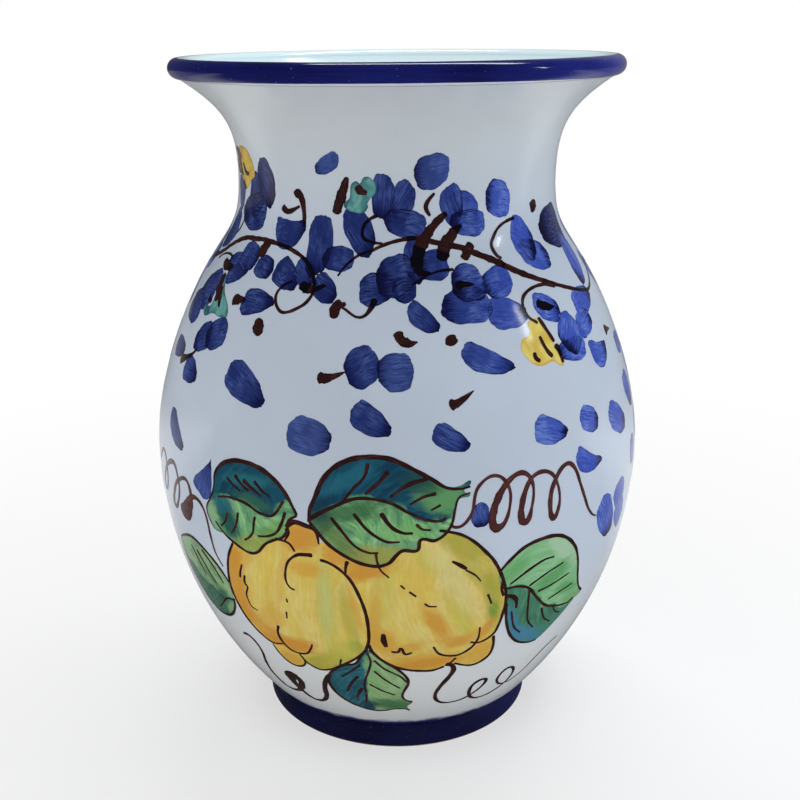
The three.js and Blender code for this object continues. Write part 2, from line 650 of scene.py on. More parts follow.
@dataclass(frozen=True)
class Finish:
    """Base of the glossy glazes: colour comes from each finish, surface from the shared coat."""

    name: str
    roughness: float = 0.1
    relief: float = 0.1 * MM
    bump: float = 0.5
    unevenness: float = 0.04

    def build(self) -> bpy.types.Material:
        """Makes the material once."""
        found = bpy.data.materials.get(self.name)
        if found:
            return found
        material, graph, shader = new_material(self.name)
        place = graph.node("TexCoord").outputs["Object"]
        coat = graph.use(COAT, Position=place)
        graph.put(self.colour(graph, place, coat), shader.inputs["Base Color"])
        bump = {"Height": coat["Height"], "Distance": self.relief, "Strength": self.bump}
        graph.put(graph.node("Bump", bump).outputs["Normal"], shader.inputs["Normal"])
        rough = graph.scaled(coat["Drift"], self.unevenness, self.roughness)
        graph.put(rough, shader.inputs["Roughness"])
        return material

    def colour(self, graph: Graph, place: object, coat: Sockets) -> Socket:
        """Colour socket of the finish.

        Args:
            graph: The material's graph.
            place: Object coordinates.
            coat: Outputs of the shared glaze coat.

        Returns:
            The colour socket.
        """
        raise NotImplementedError


@dataclass(frozen=True)
class TinGlaze(Finish):
    """Cool white glaze, with painted shade greying it under the lip and painted floor light paling its
    lower part, and the foot's blue brushed up over the heel.
    """

    base: Colour = (197, 208, 224)
    drift: Colour = (190, 201, 216)
    high: Colour = (203, 209, 213)
    low: Colour = (224, 227, 229)
    inner: Colour = (228, 249, 255)
    speck: Colour = (170, 176, 192)
    blue: Colour = (30, 30, 92)
    speck_share: float = 0.25
    lip_shade_from: float = 225.0 * MM
    lip_shade_full: float = 285.0 * MM
    floor_light_from: float = 120.0 * MM
    floor_light_full: float = 40.0 * MM
    blue_top: float = 17.5 * MM
    blue_sway: float = 5.0 * MM
    blue_fade: tuple[float, float] = (2.2 * MM, 1.6 * MM)

    def colour(self, graph: Graph, place: object, coat: Sockets) -> Socket:
        """Blends the ground by height, with painted shade under the lip and painted light from the floor
        low down, and brushes the blue band over the heel.
        """
        x, y, z = graph.parts(place)
        ground = graph.blend(coat["Drift"], self.base, self.drift)
        # Painted shade: the ground takes a greyer tint towards the lip, standing in for the shade under the
        # roll.
        ground = graph.blend(graph.ramp(z, self.lip_shade_from, self.lip_shade_full), ground, self.high)
        # Painted light: the ground turns paler towards the bottom, standing in for light thrown up from the
        # floor.
        ground = graph.blend(graph.ramp(z, self.floor_light_from, self.floor_light_full), ground, self.low)
        ground = graph.blend(graph.times(coat["Speck"], self.speck_share), ground, self.speck)
        ground = graph.blend(graph.amount("within"), ground, self.inner)
        turn = graph.math("ARCTAN2", x, y)
        hairs = graph.noise(graph.vector(turn, graph.times(z, 40.0)), 9.0, 4.0)
        top = graph.scaled(graph.minus(hairs, 0.5), self.blue_sway, self.blue_top)
        above, below = self.blue_fade
        band = graph.ramp(z, graph.total(top, above), graph.minus(top, below))
        return graph.blend(band, ground, self.blue)


@dataclass(frozen=True)
class BandGlaze(Finish):
    """Blue banding colour brushed round the rim or the foot, ending where a white glaze starts, with
    painted light paling it towards the right.
    """

    base: Colour = (11, 15, 84)
    dark: Colour = (5, 7, 52)
    light: Colour = (40, 50, 148)
    speck: Colour = (110, 120, 196)
    bare: Colour = (228, 249, 255)
    under: Colour = (212, 218, 226)
    speck_share: float = 0.45

    def colour(self, graph: Graph, place: object, coat: Sockets) -> Socket:
        """Streaks that run round the vase, painted light paler towards the right, pale specks, and the bare
        parts marked on the mesh.
        """
        x, y, _ = graph.parts(place)
        turn = graph.math("ARCTAN2", x, y)
        angle = graph.amount("band_angle")
        way = graph.vector(graph.times(angle, 5.0), graph.times(turn, 4.0))
        hairs = graph.ramp(graph.noise(way, 1.0, 4.0, 0.6), 0.35, 0.7)
        colour = graph.blend(hairs, self.base, self.dark)
        # Painted light: the blue pales towards the right side, as if lit from there, with some random drift
        # of the glaze mixed in.
        right = graph.ramp(x, 0.03, 0.09)
        thin = graph.times(graph.scaled(right, 0.5, 0.3), coat["Drift"])
        colour = graph.blend(graph.scaled(right, 0.5, thin), colour, self.light)
        speck = graph.ramp(graph.noise(place, 950.0, 0.0), 0.79, 0.86)
        colour = graph.blend(graph.times(speck, self.speck_share), colour, self.speck)
        ragged = graph.noise(graph.vector(graph.times(turn, 9.0), 0.0), 1.0, 3.0)
        for name, over, depth in (("bare", self.bare, 0.5), ("under", self.under, 0.3)):
            part = graph.amount(name)
            border = graph.total(part, graph.scaled(ragged, depth, -depth / 2))
            colour = graph.blend(graph.ramp(border, 0.42, 0.58), colour, over)
        return colour


@dataclass(frozen=True)
class PetalPaint(Finish):
    """Cobalt laid on with one press of a round brush: streaky, dark where it pools or overlaps, and with
    painted light making it paler and bluer towards the right.
    """

    base: Colour = (29, 44, 105)
    light: Colour = (70, 90, 154)
    right_lit_base: Colour = (57, 81, 180)
    right_lit_streak: Colour = (111, 137, 213)
    deep: Colour = (15, 19, 66)
    pooled: Colour = (8, 9, 40)
    right_lit_reach: tuple[float, float] = (8.0, 80.0)

    def colour(self, graph: Graph, place: object, coat: Sockets) -> Socket:
        """Painted light paler towards the right, streaks along the stroke, then pooling at the edge, the
        tail and overlaps.
        """
        stroke = graph.stored("stroke")
        edge, layers, share = graph.parts(graph.stored("dose"))
        marks = graph.use(BRUSH, Stroke=stroke, Fineness=1.9, Length=12.0)
        pool = graph.use(POOL, Edge=edge, Width=0.8, Stroke=stroke)["Pool"]
        thin = graph.times(marks["Streak"], graph.scaled(marks["Cloud"], 0.85, 0.1))
        thin = graph.times(thin, graph.ramp(share, 1.0, 0.35))
        runny = graph.math("MAXIMUM", graph.times(layers, -1.0), 0.0)
        thin = graph.scaled(runny, 0.55, thin)
        # Painted light: the petals' base and streak colours turn paler and bluer towards the right, as if
        # lit from that side.
        right = graph.ramp(graph.parts(graph.stored("place"))[0], *self.right_lit_reach)
        base = graph.blend(right, self.base, self.right_lit_base)
        colour = graph.blend(thin, base, graph.blend(right, self.light, self.right_lit_streak))
        heavy = graph.times(graph.ramp(share, 0.6, 1.0), 0.85)
        heavy = graph.total(heavy, graph.times(layers, 0.4), graph.times(pool, 0.4))
        heavy = graph.scaled(graph.minus(0.5, marks["Streak"]), 0.5, heavy)
        colour = graph.blend(graph.ramp(heavy, 0.0, 1.0), colour, self.deep)
        return graph.blend(graph.ramp(heavy, 0.95, 1.7), colour, self.pooled)


@dataclass(frozen=True)
class FruitPaint(Finish):
    """Lemon yellow with pale bands, orange and green washes."""

    base: Colour = (222, 199, 95)
    pale: Colour = (226, 215, 136)
    warm: Colour = (206, 160, 72)
    washes: tuple[Wash, ...] = ()

    def colour(self, graph: Graph, place: object, coat: Sockets) -> Socket:
        """Brush bands from top to bottom, then the washes one over another."""
        stroke = graph.stored("stroke")
        wall = graph.stored("place")
        broad = graph.use(BRUSH, Stroke=stroke, Fineness=0.16, Length=5.0)
        fine = graph.use(BRUSH, Stroke=stroke, Fineness=0.75, Length=9.0)
        colour = graph.blend(graph.times(broad["Streak"], 0.75), self.base, self.pale)
        colour = graph.blend(graph.times(fine["Cloud"], 0.2), colour, self.warm)
        for wash in self.washes:
            colour = wash.over(graph, wall, colour)
        hairs = graph.times(fine["Streak"], 0.3)
        return graph.blend(hairs, colour, self.warm)


@dataclass(frozen=True)
class LeafPaint(Finish):
    """Two greens on either side of the midrib, brushed along the veins."""

    above: Colour = (24, 84, 104)
    below: Colour = (96, 166, 100)
    light: Colour = (146, 196, 140)
    dark: Colour = (34, 92, 88)
    washes: tuple[Wash, ...] = ()
    above_dark: Colour = (16, 52, 72)

    def colour(self, graph: Graph, place: object, coat: Sockets) -> Socket:
        """Colours each half, streaks them along the veins and darkens the border."""
        stroke = graph.stored("stroke")
        wall = graph.stored("place")
        edge, _, _ = graph.parts(graph.stored("dose"))
        across, along, seed = graph.parts(stroke)
        off = graph.math("ABSOLUTE", across)
        vein = graph.vector(graph.scaled(off, -0.8, along), graph.scaled(along, 0.5, off), seed)
        marks = graph.use(BRUSH, Stroke=vein, Fineness=0.5, Length=7.0)
        wander = graph.scaled(marks["Cloud"], 3.0, -1.5)
        side = graph.ramp(graph.total(across, wander), -1.0, 1.0)
        under = graph.blend(marks["Streak"], self.below, self.light)
        shade = graph.times(graph.ramp(marks["Cloud"], 0.6, 0.0), 0.4)
        under = graph.blend(shade, under, self.dark)
        over = graph.blend(graph.times(marks["Streak"], 0.8), self.above, self.above_dark)
        colour = graph.blend(side, under, over)
        for wash in self.washes:
            colour = wash.over(graph, wall, colour)
        pool = graph.use(POOL, Edge=edge, Width=1.2, Stroke=stroke)["Pool"]
        return graph.blend(graph.times(pool, 0.35), colour, self.dark)


@dataclass(frozen=True)
class BlossomPaint(Finish):
    """One soft colour with lighter and darker patches."""

    base: Colour = (86, 150, 146)
    dark: Colour = (42, 92, 102)
    light: Colour = (124, 180, 170)

    def colour(self, graph: Graph, place: object, coat: Sockets) -> Socket:
        """Streaks and clouds, darker at the border."""
        stroke = graph.stored("stroke")
        edge, _, _ = graph.parts(graph.stored("dose"))
        marks = graph.use(BRUSH, Stroke=stroke, Fineness=0.7, Length=5.0)
        pool = graph.use(POOL, Edge=edge, Width=1.0, Stroke=stroke)["Pool"]
        colour = graph.blend(graph.times(marks["Streak"], 0.6), self.base, self.light)
        heavy = graph.total(graph.times(pool, 0.5), graph.times(marks["Cloud"], 0.6))
        return graph.blend(graph.ramp(heavy, 0.1, 1.0), colour, self.dark)


@dataclass(frozen=True)
class LinePaint(Finish):
    """Manganese brown drawn with a liner: reddish where thin, nearly black over the blue."""

    base: Colour = (45, 21, 21)
    thin: Colour = (88, 49, 45)
    thick: Colour = (30, 12, 14)
    over_blue: Colour = (10, 6, 18)

    def colour(self, graph: Graph, place: object, coat: Sockets) -> Socket:
        """Streaks along the line, darker borders on wide strokes, black where it crosses blue."""
        stroke = graph.stored("stroke")
        edge, blue, width = graph.parts(graph.stored("dose"))
        marks = graph.use(BRUSH, Stroke=stroke, Fineness=1.6, Length=10.0)
        pool = graph.use(POOL, Edge=edge, Width=0.7, Stroke=stroke)["Pool"]
        dry = graph.times(marks["Cloud"], graph.ramp(marks["Streak"], 0.3, 1.0))
        share = graph.scaled(graph.ramp(width, 2.4, 4.0), -0.35, 0.6)
        dry = graph.times(dry, share)
        colour = graph.blend(dry, self.base, self.thin)
        wet = graph.times(pool, graph.ramp(width, 1.5, 4.0))
        colour = graph.blend(wet, colour, self.thick)
        return graph.blend(blue, colour, self.over_blue)


class Side(Enum):
    """Where a motif is laid: as drawn on the front, or repeated half a turn on, at the back."""

    FRONT = "front"
    BACK = "back"

    def angle(self, x: Array) -> Array:
        """Angles about the axis for places on the unrolled drawing."""
        return x / WALL_RADIUS + (0.0 if self is Side.FRONT else math.pi)


@dataclass
class Patch:
    """A closed outline filled by one stroke, with the spine that the brush followed."""

    ring: Array
    spine: Array
    seed: float = 0.0
    load: float = 0.0

    def __post_init__(self) -> None:
        """Makes the outline run counter-clockwise."""
        x, z = self.ring[:, 0], self.ring[:, 1]
        if np.dot(x, np.roll(z, -1)) - np.dot(z, np.roll(x, -1)) < 0:
            self.ring = self.ring[::-1]

    def brush(self, points: Array) -> Array:
        """Distance left of the spine, run along it, and its share, for each point."""
        a, b = self.spine[:-1], self.spine[1:]
        span = b - a
        length = np.linalg.norm(span, axis=1)
        ahead = span / length[:, None]
        away = points[:, None, :] - a
        run = (away * ahead).sum(-1)
        low, high = np.zeros(len(length)), length.copy()
        low[0], high[-1] = -math.inf, math.inf
        run = np.clip(run, low, high)
        gap = away - run[..., None] * ahead
        best = np.linalg.norm(gap, axis=-1).argmin(axis=1)
        rows = np.arange(len(points))
        left = ahead[best, 0] * away[rows, best, 1] - ahead[best, 1] * away[rows, best, 0]
        along = np.concatenate([[0.0], np.cumsum(length)])[best] + run[rows, best]
        return np.stack([left, along, along / length.sum()], axis=1)


@dataclass(frozen=True)
class Dab:
    """One press of a round brush: centre, length, width, heading of the tail in degrees.

    Load is the colour in the brush: above 0 it covers darkly, below 0 it runs thin and pale.
    """

    x: float
    z: float
    long: float
    wide: float
    turn: float
    tail: float = 0.3
    bend: float = 0.0
    load: float = 0.0
    fullness: float = 2.4

    def patch(self) -> Patch:
        """Outline and spine of the dab, a little uneven."""
        seed = abs(self.x * 3.7 + self.z * 1.3) % 97
        t = np.linspace(0.0, 2 * math.pi, max(36, int(self.long * 3.6)), endpoint=False)
        uneven = 1.03 + 0.04 * np.sin(2 * t + seed) + 0.035 * np.sin(3 * t + 2.3 * seed)
        uneven += 0.024 * np.sin(7 * t + 5.1 * seed) + 0.012 * np.sin(13 * t + 3.1 * seed)
        uneven += 0.014 * np.cos(t) ** 2 * np.sin(23 * t + 1.7 * seed)
        full = 2 / self.fullness - 1
        along = np.cos(t) * np.abs(np.cos(t) + TINY) ** full * uneven
        narrow = (1 - self.tail * (1 + np.cos(t)) / 2) / (1 - self.tail / 2)
        across = np.sin(t) * np.abs(np.sin(t) + TINY) ** full * narrow * uneven
        ahead, left = direction(self.turn), direction(self.turn + UPRIGHT)
        off = across * self.wide / 2 + self.bend * self.long * (along**2 - 0.3)
        middle = np.array([self.x, self.z])
        ring = middle + np.outer(along * self.long / 2, ahead) + np.outer(off, left)
        spine = np.array([middle - ahead * self.long / 2, middle + ahead * self.long / 2])
        return Patch(ring, spine, seed, self.load)


@dataclass(frozen=True)
class Line:
    """One line of the drawing: its spots, and widths at the spots or at even shares of the way."""

    way: Way
    widths: tuple[float, ...]


@dataclass
class Film:
    """Lays filled outlines over the skin as one thin closed piece.

    The grid of inner points is in millimetres, and its gap to the outline in grid steps.
    """

    skin: Skin
    lift: float
    grid: float = 2.2
    border_gap: float = 0.35
    under: float = -0.05 * MM

    def build(self, name: str, patches: list[Patch], side: Side) -> Piece:
        """Fills the outlines.

        Args:
            name: Name of the piece.
            patches: Outlines in painting order, later ones on top.
            side: Where on the vase they go.

        Returns:
            The piece, with its stroke, dose and place stored for the shader.
        """
        flat, faces, owner, layers = self.fill(patches)
        count = len(flat)
        theta, z = side.angle(flat[:, 0]), flat[:, 1] * MM
        lifts = self.lift, self.under
        verts = np.vstack([self.skin.point(theta, z, np.full(count, lift)) for lift in lifts])
        edges = {(a, b) for tri in faces for a, b in zip(tri, np.roll(tri, -1))}
        walls = [(b, a, a + count, b + count) for a, b in sorted(edges) if (b, a) not in edges]
        bottom = faces[:, ::-1] + count
        corners = np.concatenate([faces.ravel(), bottom.ravel(), np.array(walls).ravel()])
        stroke, dose = np.zeros((len(corners), 3)), np.zeros((len(corners), 3))
        for index, patch in enumerate(patches):
            mine = np.flatnonzero(np.repeat(owner == index, 3))
            if len(mine):
                spots = flat[faces.ravel()[mine]]
                brush = patch.brush(spots)
                edge = ring_distance(spots, patch.ring)
                stroke[mine] = np.column_stack([brush[:, :2], np.full(len(mine), patch.seed)])
                load = np.repeat(layers, 3)[mine] + patch.load
                dose[mine] = np.column_stack([edge, load, brush[:, 2]])
        shapes = [tuple(f) for f in faces.tolist() + bottom.tolist()] + walls
        made = mesh_object(name, verts, shapes)
        note(made, "stroke", stroke, "CORNER")
        note(made, "dose", dose, "CORNER")
        note(made, "place", np.tile(np.column_stack([flat, np.zeros(count)]), (2, 1)))
        face_out(made, np.tile(self.skin.normal_at(theta, z), (2, 1)))
        return made

    def fill(self, patches: list[Patch]) -> tuple[Array, Array, Array, Array]:
        """Triangulates overlapping outlines together.

        Args:
            patches: Outlines in painting order.

        Returns:
            Flat points, triangles, the topmost outline and the number of layers below it.
        """
        rings, points, total = [], [], 0
        for patch in patches:
            rings.append(list(range(total, total + len(patch.ring))))
            points.append(patch.ring)
            total += len(patch.ring)
            low, high = patch.ring.min(axis=0), patch.ring.max(axis=0)
            rows = np.arange(math.ceil(low[1] / self.grid), high[1] / self.grid)
            columns = np.arange(math.ceil(low[0] / self.grid), high[0] / self.grid)
            mesh = np.array([(c + 0.5 * (r % 2), r) for r in rows for c in columns]) * self.grid
            if len(mesh):
                mesh = mesh[inside(mesh, patch.ring)]
                clear = self.border_gap * self.grid
                keep = ring_distance(mesh, patch.ring) > clear if len(mesh) else []
                points.append(mesh[keep])
                total += int(np.sum(keep))
        spots = [Vector(spot) for spot in np.vstack(points)]
        flat, _, faces, _, _, sources = delaunay_2d_cdt(spots, [], rings, 1, 1e-5)
        filled = [(face, source) for face, source in zip(faces, sources) if source]
        owner = np.array([max(source) for _, source in filled])
        layers = np.array([len(source) - 1.0 for _, source in filled])
        triangles = np.array([face for face, _ in filled])
        return np.array([tuple(v) for v in flat]), triangles, owner, layers


@dataclass
class Pen:
    """Draws lines as thin closed ribbons over the skin."""

    skin: Skin
    lift: float
    pressure: float = 1.0
    step: float = 0.8
    under: float = -0.05 * MM
    rise: float = 0.0004 * MM
    least_width: float = 0.25
    least_end: float = 0.6
    end_steps: tuple[float, ...] = (0.0, 0.06, 0.2, 0.45, 0.8)
    end_round: float = 0.7
    end_flat: float = 0.004
    quick_tremor: float = 0.07
    quick_rate: float = 0.9
    slow_tremor: float = 0.05
    slow_rate: float = 0.37
    ragged_from: float = 0.8
    ragged_depth: float = 0.075
    line_step: float = 1.7
    line_shift: float = 2.1

    def build(self, name: str, lines: tuple[Line, ...], side: Side, blue: list[Patch]) -> Piece:
        """Draws the lines as one piece.

        Args:
            name: Name of the piece.
            lines: Lines in drawing order.
            side: Where on the vase they go.
            blue: Petals; where a line crosses one it turns nearly black.

        Returns:
            The piece.
        """
        verts, faces, stroke, dose, thetas, heights = [], [], [], [], [], []
        for index, line in enumerate(lines):
            spots, half, run = self.trace(line, index)
            left = self.left_of(spots)
            over = np.zeros(len(spots))
            for patch in blue:
                over = np.maximum(over, inside(spots, patch.ring))
            lift = self.lift + self.rise * index
            base = sum(len(v) for v in verts)
            offsets = ((1, self.under), (1, lift), (0, lift), (-1, lift), (-1, self.under))
            for share, height in offsets:
                border = half * self.unevenness(half, run, share, index)
                place = spots + left * (share * border)[:, None]
                theta, z = side.angle(place[:, 0]), place[:, 1] * MM
                verts.append(self.skin.point(theta, z, np.full(len(z), height)))
                thetas.append(theta)
                heights.append(z)
                stroke.append(np.column_stack([share * half, run, np.full(len(z), index * self.line_step)]))
                dose.append(np.column_stack([half * (1 - abs(share)), over, 2 * half]))
            faces.extend(self.skirt(base, len(spots), len(offsets)))
        made = mesh_object(name, np.vstack(verts), faces)
        note(made, "stroke", np.vstack(stroke))
        note(made, "dose", np.vstack(dose))
        face_out(made, self.skin.normal_at(np.concatenate(thetas), np.concatenate(heights)))
        return made

    def trace(self, line: Line, index: int) -> tuple[Array, Array, Array]:
        """Samples a line: spots, half widths with rounded ends, and run in millimetres."""
        dense = flow(line.way, self.step / 3)
        run = np.concatenate([[0.0], np.cumsum(np.linalg.norm(np.diff(dense, axis=0), axis=1))])
        total = run[-1]
        step = min(self.step, total / 10)
        broadest = max(line.widths[0], line.widths[-1], self.least_end)
        ends = np.array(self.end_steps) * broadest / 2
        at = np.concatenate([ends, np.arange(step, total, step), total - ends])
        at = np.unique(np.round(at[(at >= 0) & (at <= total)], 3))
        spots = np.column_stack([np.interp(at, run, dense[:, k]) for k in (0, 1)])
        shares = np.linspace(0, 1, len(line.widths)) * total
        if len(line.widths) == len(line.way):
            reach = np.linalg.norm(np.diff(np.array(line.way), axis=0), axis=1)
            counts = np.maximum(2, np.round(reach / (self.step / 3))).astype(int)
            shares = run[np.concatenate([[0], np.cumsum(counts)])]
        widths = np.interp(at, shares, line.widths) * self.pressure
        quick = self.quick_tremor * np.sin(at * self.quick_rate + index)
        slow = self.slow_tremor * np.sin(at * self.slow_rate + self.line_shift * index)
        widths *= 1.0 + quick + slow
        half = np.maximum(widths, self.least_width) / 2
        near = np.clip(np.minimum(at, total - at) / (self.end_round * half), 0.0, 1.0)
        return spots, half * np.sqrt(np.maximum(1 - (1 - near) ** 2, self.end_flat)), at

    def unevenness(self, half: Array, run: Array, share: float, index: int) -> Array:
        """Factors on the half widths of one border, which is ragged where the stroke is broad."""
        loaded = smooth(half - self.ragged_from)
        wave = np.sin(1.3 * run + self.line_shift * index + 2 * share)
        wave = wave + 0.8 * np.sin(2.9 * run + 0.9 * index - share)
        return 1.0 + self.ragged_depth * loaded * wave

    def left_of(self, spots: Array) -> Array:
        """Unit offsets to the left of a line, measured on the real wall."""
        z = spots[:, 1] * MM
        scale = np.column_stack(
            [self.skin.radius_at(z) / (WALL_RADIUS * MM), 1 / np.cos(self.skin.lean_at(z))]
        )
        ahead = np.gradient(spots, axis=0) * scale
        ahead /= np.maximum(np.linalg.norm(ahead, axis=1), TINY)[:, None]
        return np.column_stack([-ahead[:, 1], ahead[:, 0]]) / scale

    @staticmethod
    def skirt(base: int, count: int, around: int) -> Faces:
        """Faces of one ribbon: its long strips and the two ends."""
        faces = []
        for row in range(around):
            here, there = base + row * count, base + ((row + 1) % around) * count
            for i in range(count - 1):
                faces.append((here + i, there + i, there + i + 1, here + i + 1))
        faces.append(tuple(base + row * count for row in reversed(range(around))))
        faces.append(tuple(base + row * count + count - 1 for row in range(around)))
        return faces


UPPER_DABS = (
    Dab(-43.2, 260.8, 16.5, 7.2, 198, 0.2, -0.04, -0.8), Dab(-93.8, 251, 19.8, 16.5, -46, 0.32, 0, 1.4),
    Dab(-107, 245, 18, 17, -140, 0.1, 0, 0.8), Dab(-110.5, 238.5, 31, 14.5, 184, 0.6, 0, 0.7),
    Dab(-134, 245, 16, 13, 160), Dab(-138, 229, 19, 15, 200), Dab(-110, 219, 13, 7, 180),
    Dab(-102, 215.3, 18, 7.5, 10, 0.3), Dab(-97, 222, 17, 10.6, -8, 0.35),
    Dab(-80.5, 219.5, 14.5, 8, -8, 0.2, 0, 0.6), Dab(-70.2, 233.3, 24, 10.5, 0, 0.25, 0.13),
    Dab(-63, 218, 18, 9.5, -22, 0.5, 0, 0.5), Dab(-51.5, 219.5, 14, 9, -30, 0.2),
    Dab(-46.6, 229.6, 22, 15.4, -80, 0.35, 0, 0, 2.7), Dab(-34, 225.5, 18, 9, 178, 0.3),
    Dab(-37.6, 214.7, 15, 8.5, -25, 0.5, 0, 0.7), Dab(-76, 207.3, 22, 8.5, 4, 0.6, 0, 0.4),
    Dab(-124, 206, 20, 15, 190), Dab(-133, 198, 20, 13, 180), Dab(-22.5, 235.7, 23, 13.5, -38, 0.25),
    Dab(3.6, 247, 16.6, 13, -130, 0.2), Dab(-8.5, 249, 16, 14, -100, 0.15),
    Dab(4.8, 238.8, 25.5, 10.4, 172, 0.3), Dab(21.2, 258.4, 20.5, 14, 188, 0.1, 0, -0.4),
    Dab(10.5, 225, 15, 12, -60, 0.2), Dab(19.5, 223.5, 19, 10.5, 185, 0.2),
    Dab(-10, 215.8, 19, 10.6, 5, 0.25, 0, 0.7), Dab(4, 215.8, 12.5, 9, 190, 0.3, 0, 0.9),
    Dab(-0.8, 220.2, 19.5, 14.6, 190, 0.15, 0, 0.3), Dab(42.6, 244.6, 19.5, 10.8, 155, 0.3),
    Dab(34.5, 245.2, 15, 14.5, -60, 0.2), Dab(44.5, 238.2, 24, 9.5, 178, 0.4),
    Dab(55.5, 216.2, 18, 11, 190, 0.2), Dab(57, 205, 21, 11, -5, 0.55), Dab(35, 209.2, 25, 13, 180, 0.25),
    Dab(38.3, 216.8, 18.8, 12.5, 182, 0.1, 0, 0.4), Dab(13, 205.4, 16.5, 7.5, -30, 0.6, 0.03),
    Dab(67.3, 246.4, 19, 14.5, 172, 0.1), Dab(90.4, 223.6, 24.6, 10.8, -10, 0.2),
    Dab(84.6, 230, 19.5, 15, -28, 0.25), Dab(82, 204.6, 17, 10, -15, 0.2),
    Dab(115.2, 203.3, 24, 9.5, 6, 0.4), Dab(122, 231.5, 37, 16, 182, 0.5, 0, 2.0),
    Dab(130, 218, 22, 15, -120, 0.3),
)

LOWER_DABS = (
    Dab(-108.3, 189.3, 15, 11.5, 200, 0.2), Dab(-98, 192.3, 16, 12, 205, 0.35),
    Dab(-133, 180.5, 17, 8.5, 0), Dab(-111, 175.3, 15, 9.5, -8, 0.5), Dab(-15.2, 188.8, 15, 14, -150, 0.2),
    Dab(-0.5, 187.4, 15.5, 13, 185, 0.15, 0, -0.5), Dab(107.5, 195.5, 16, 10, 10),
    Dab(112.5, 182.5, 17, 10, -4, 0.35, 0.16), Dab(90.5, 187.8, 21, 8.5, 176, 0.35),
    Dab(92, 193.7, 16, 15, -135, 0.15), Dab(146, 180, 14, 9, 0, 0.4), Dab(-70, 177.3, 25, 12, -20, 0.45),
    Dab(-35.3, 162.8, 19, 13, -12, 0.45, 0.04, -0.6), Dab(-113.5, 149.5, 20, 8.5, -40, 0.5, 0.1),
    Dab(-86.4, 137, 17.5, 9, 60, 0.95, 0.1, -0.7), Dab(91, 160.3, 13, 10, -20, 0.2, -0.06),
    Dab(115.5, 154.5, 18, 12, -30, 0.35), Dab(87.2, 144.2, 17.5, 8, -24, 0.55, 0.15),
    Dab(139, 161, 16, 12, -70), Dab(135, 134.5, 14, 9, -80), Dab(103.5, 114.5, 22.5, 13, -56, 0.2),
    Dab(-10.3, 170, 18, 9.5, -27, 0.5, 0.05), Dab(21.7, 163, 15, 8.5, -28, 0.45, 0.06),
    Dab(41.8, 189.4, 24.5, 8.5, -19, 0.72, 0.05), Dab(67, 160.7, 17.5, 10, -18, 0.5, 0.03),
    Dab(32.6, 132.9, 9.6, 7.7, -80, 0.1),
)

FAINT_DABS = (Dab(116, 121.5, 13, 12, 30), Dab(119.5, 110.5, 15, 11, -60))

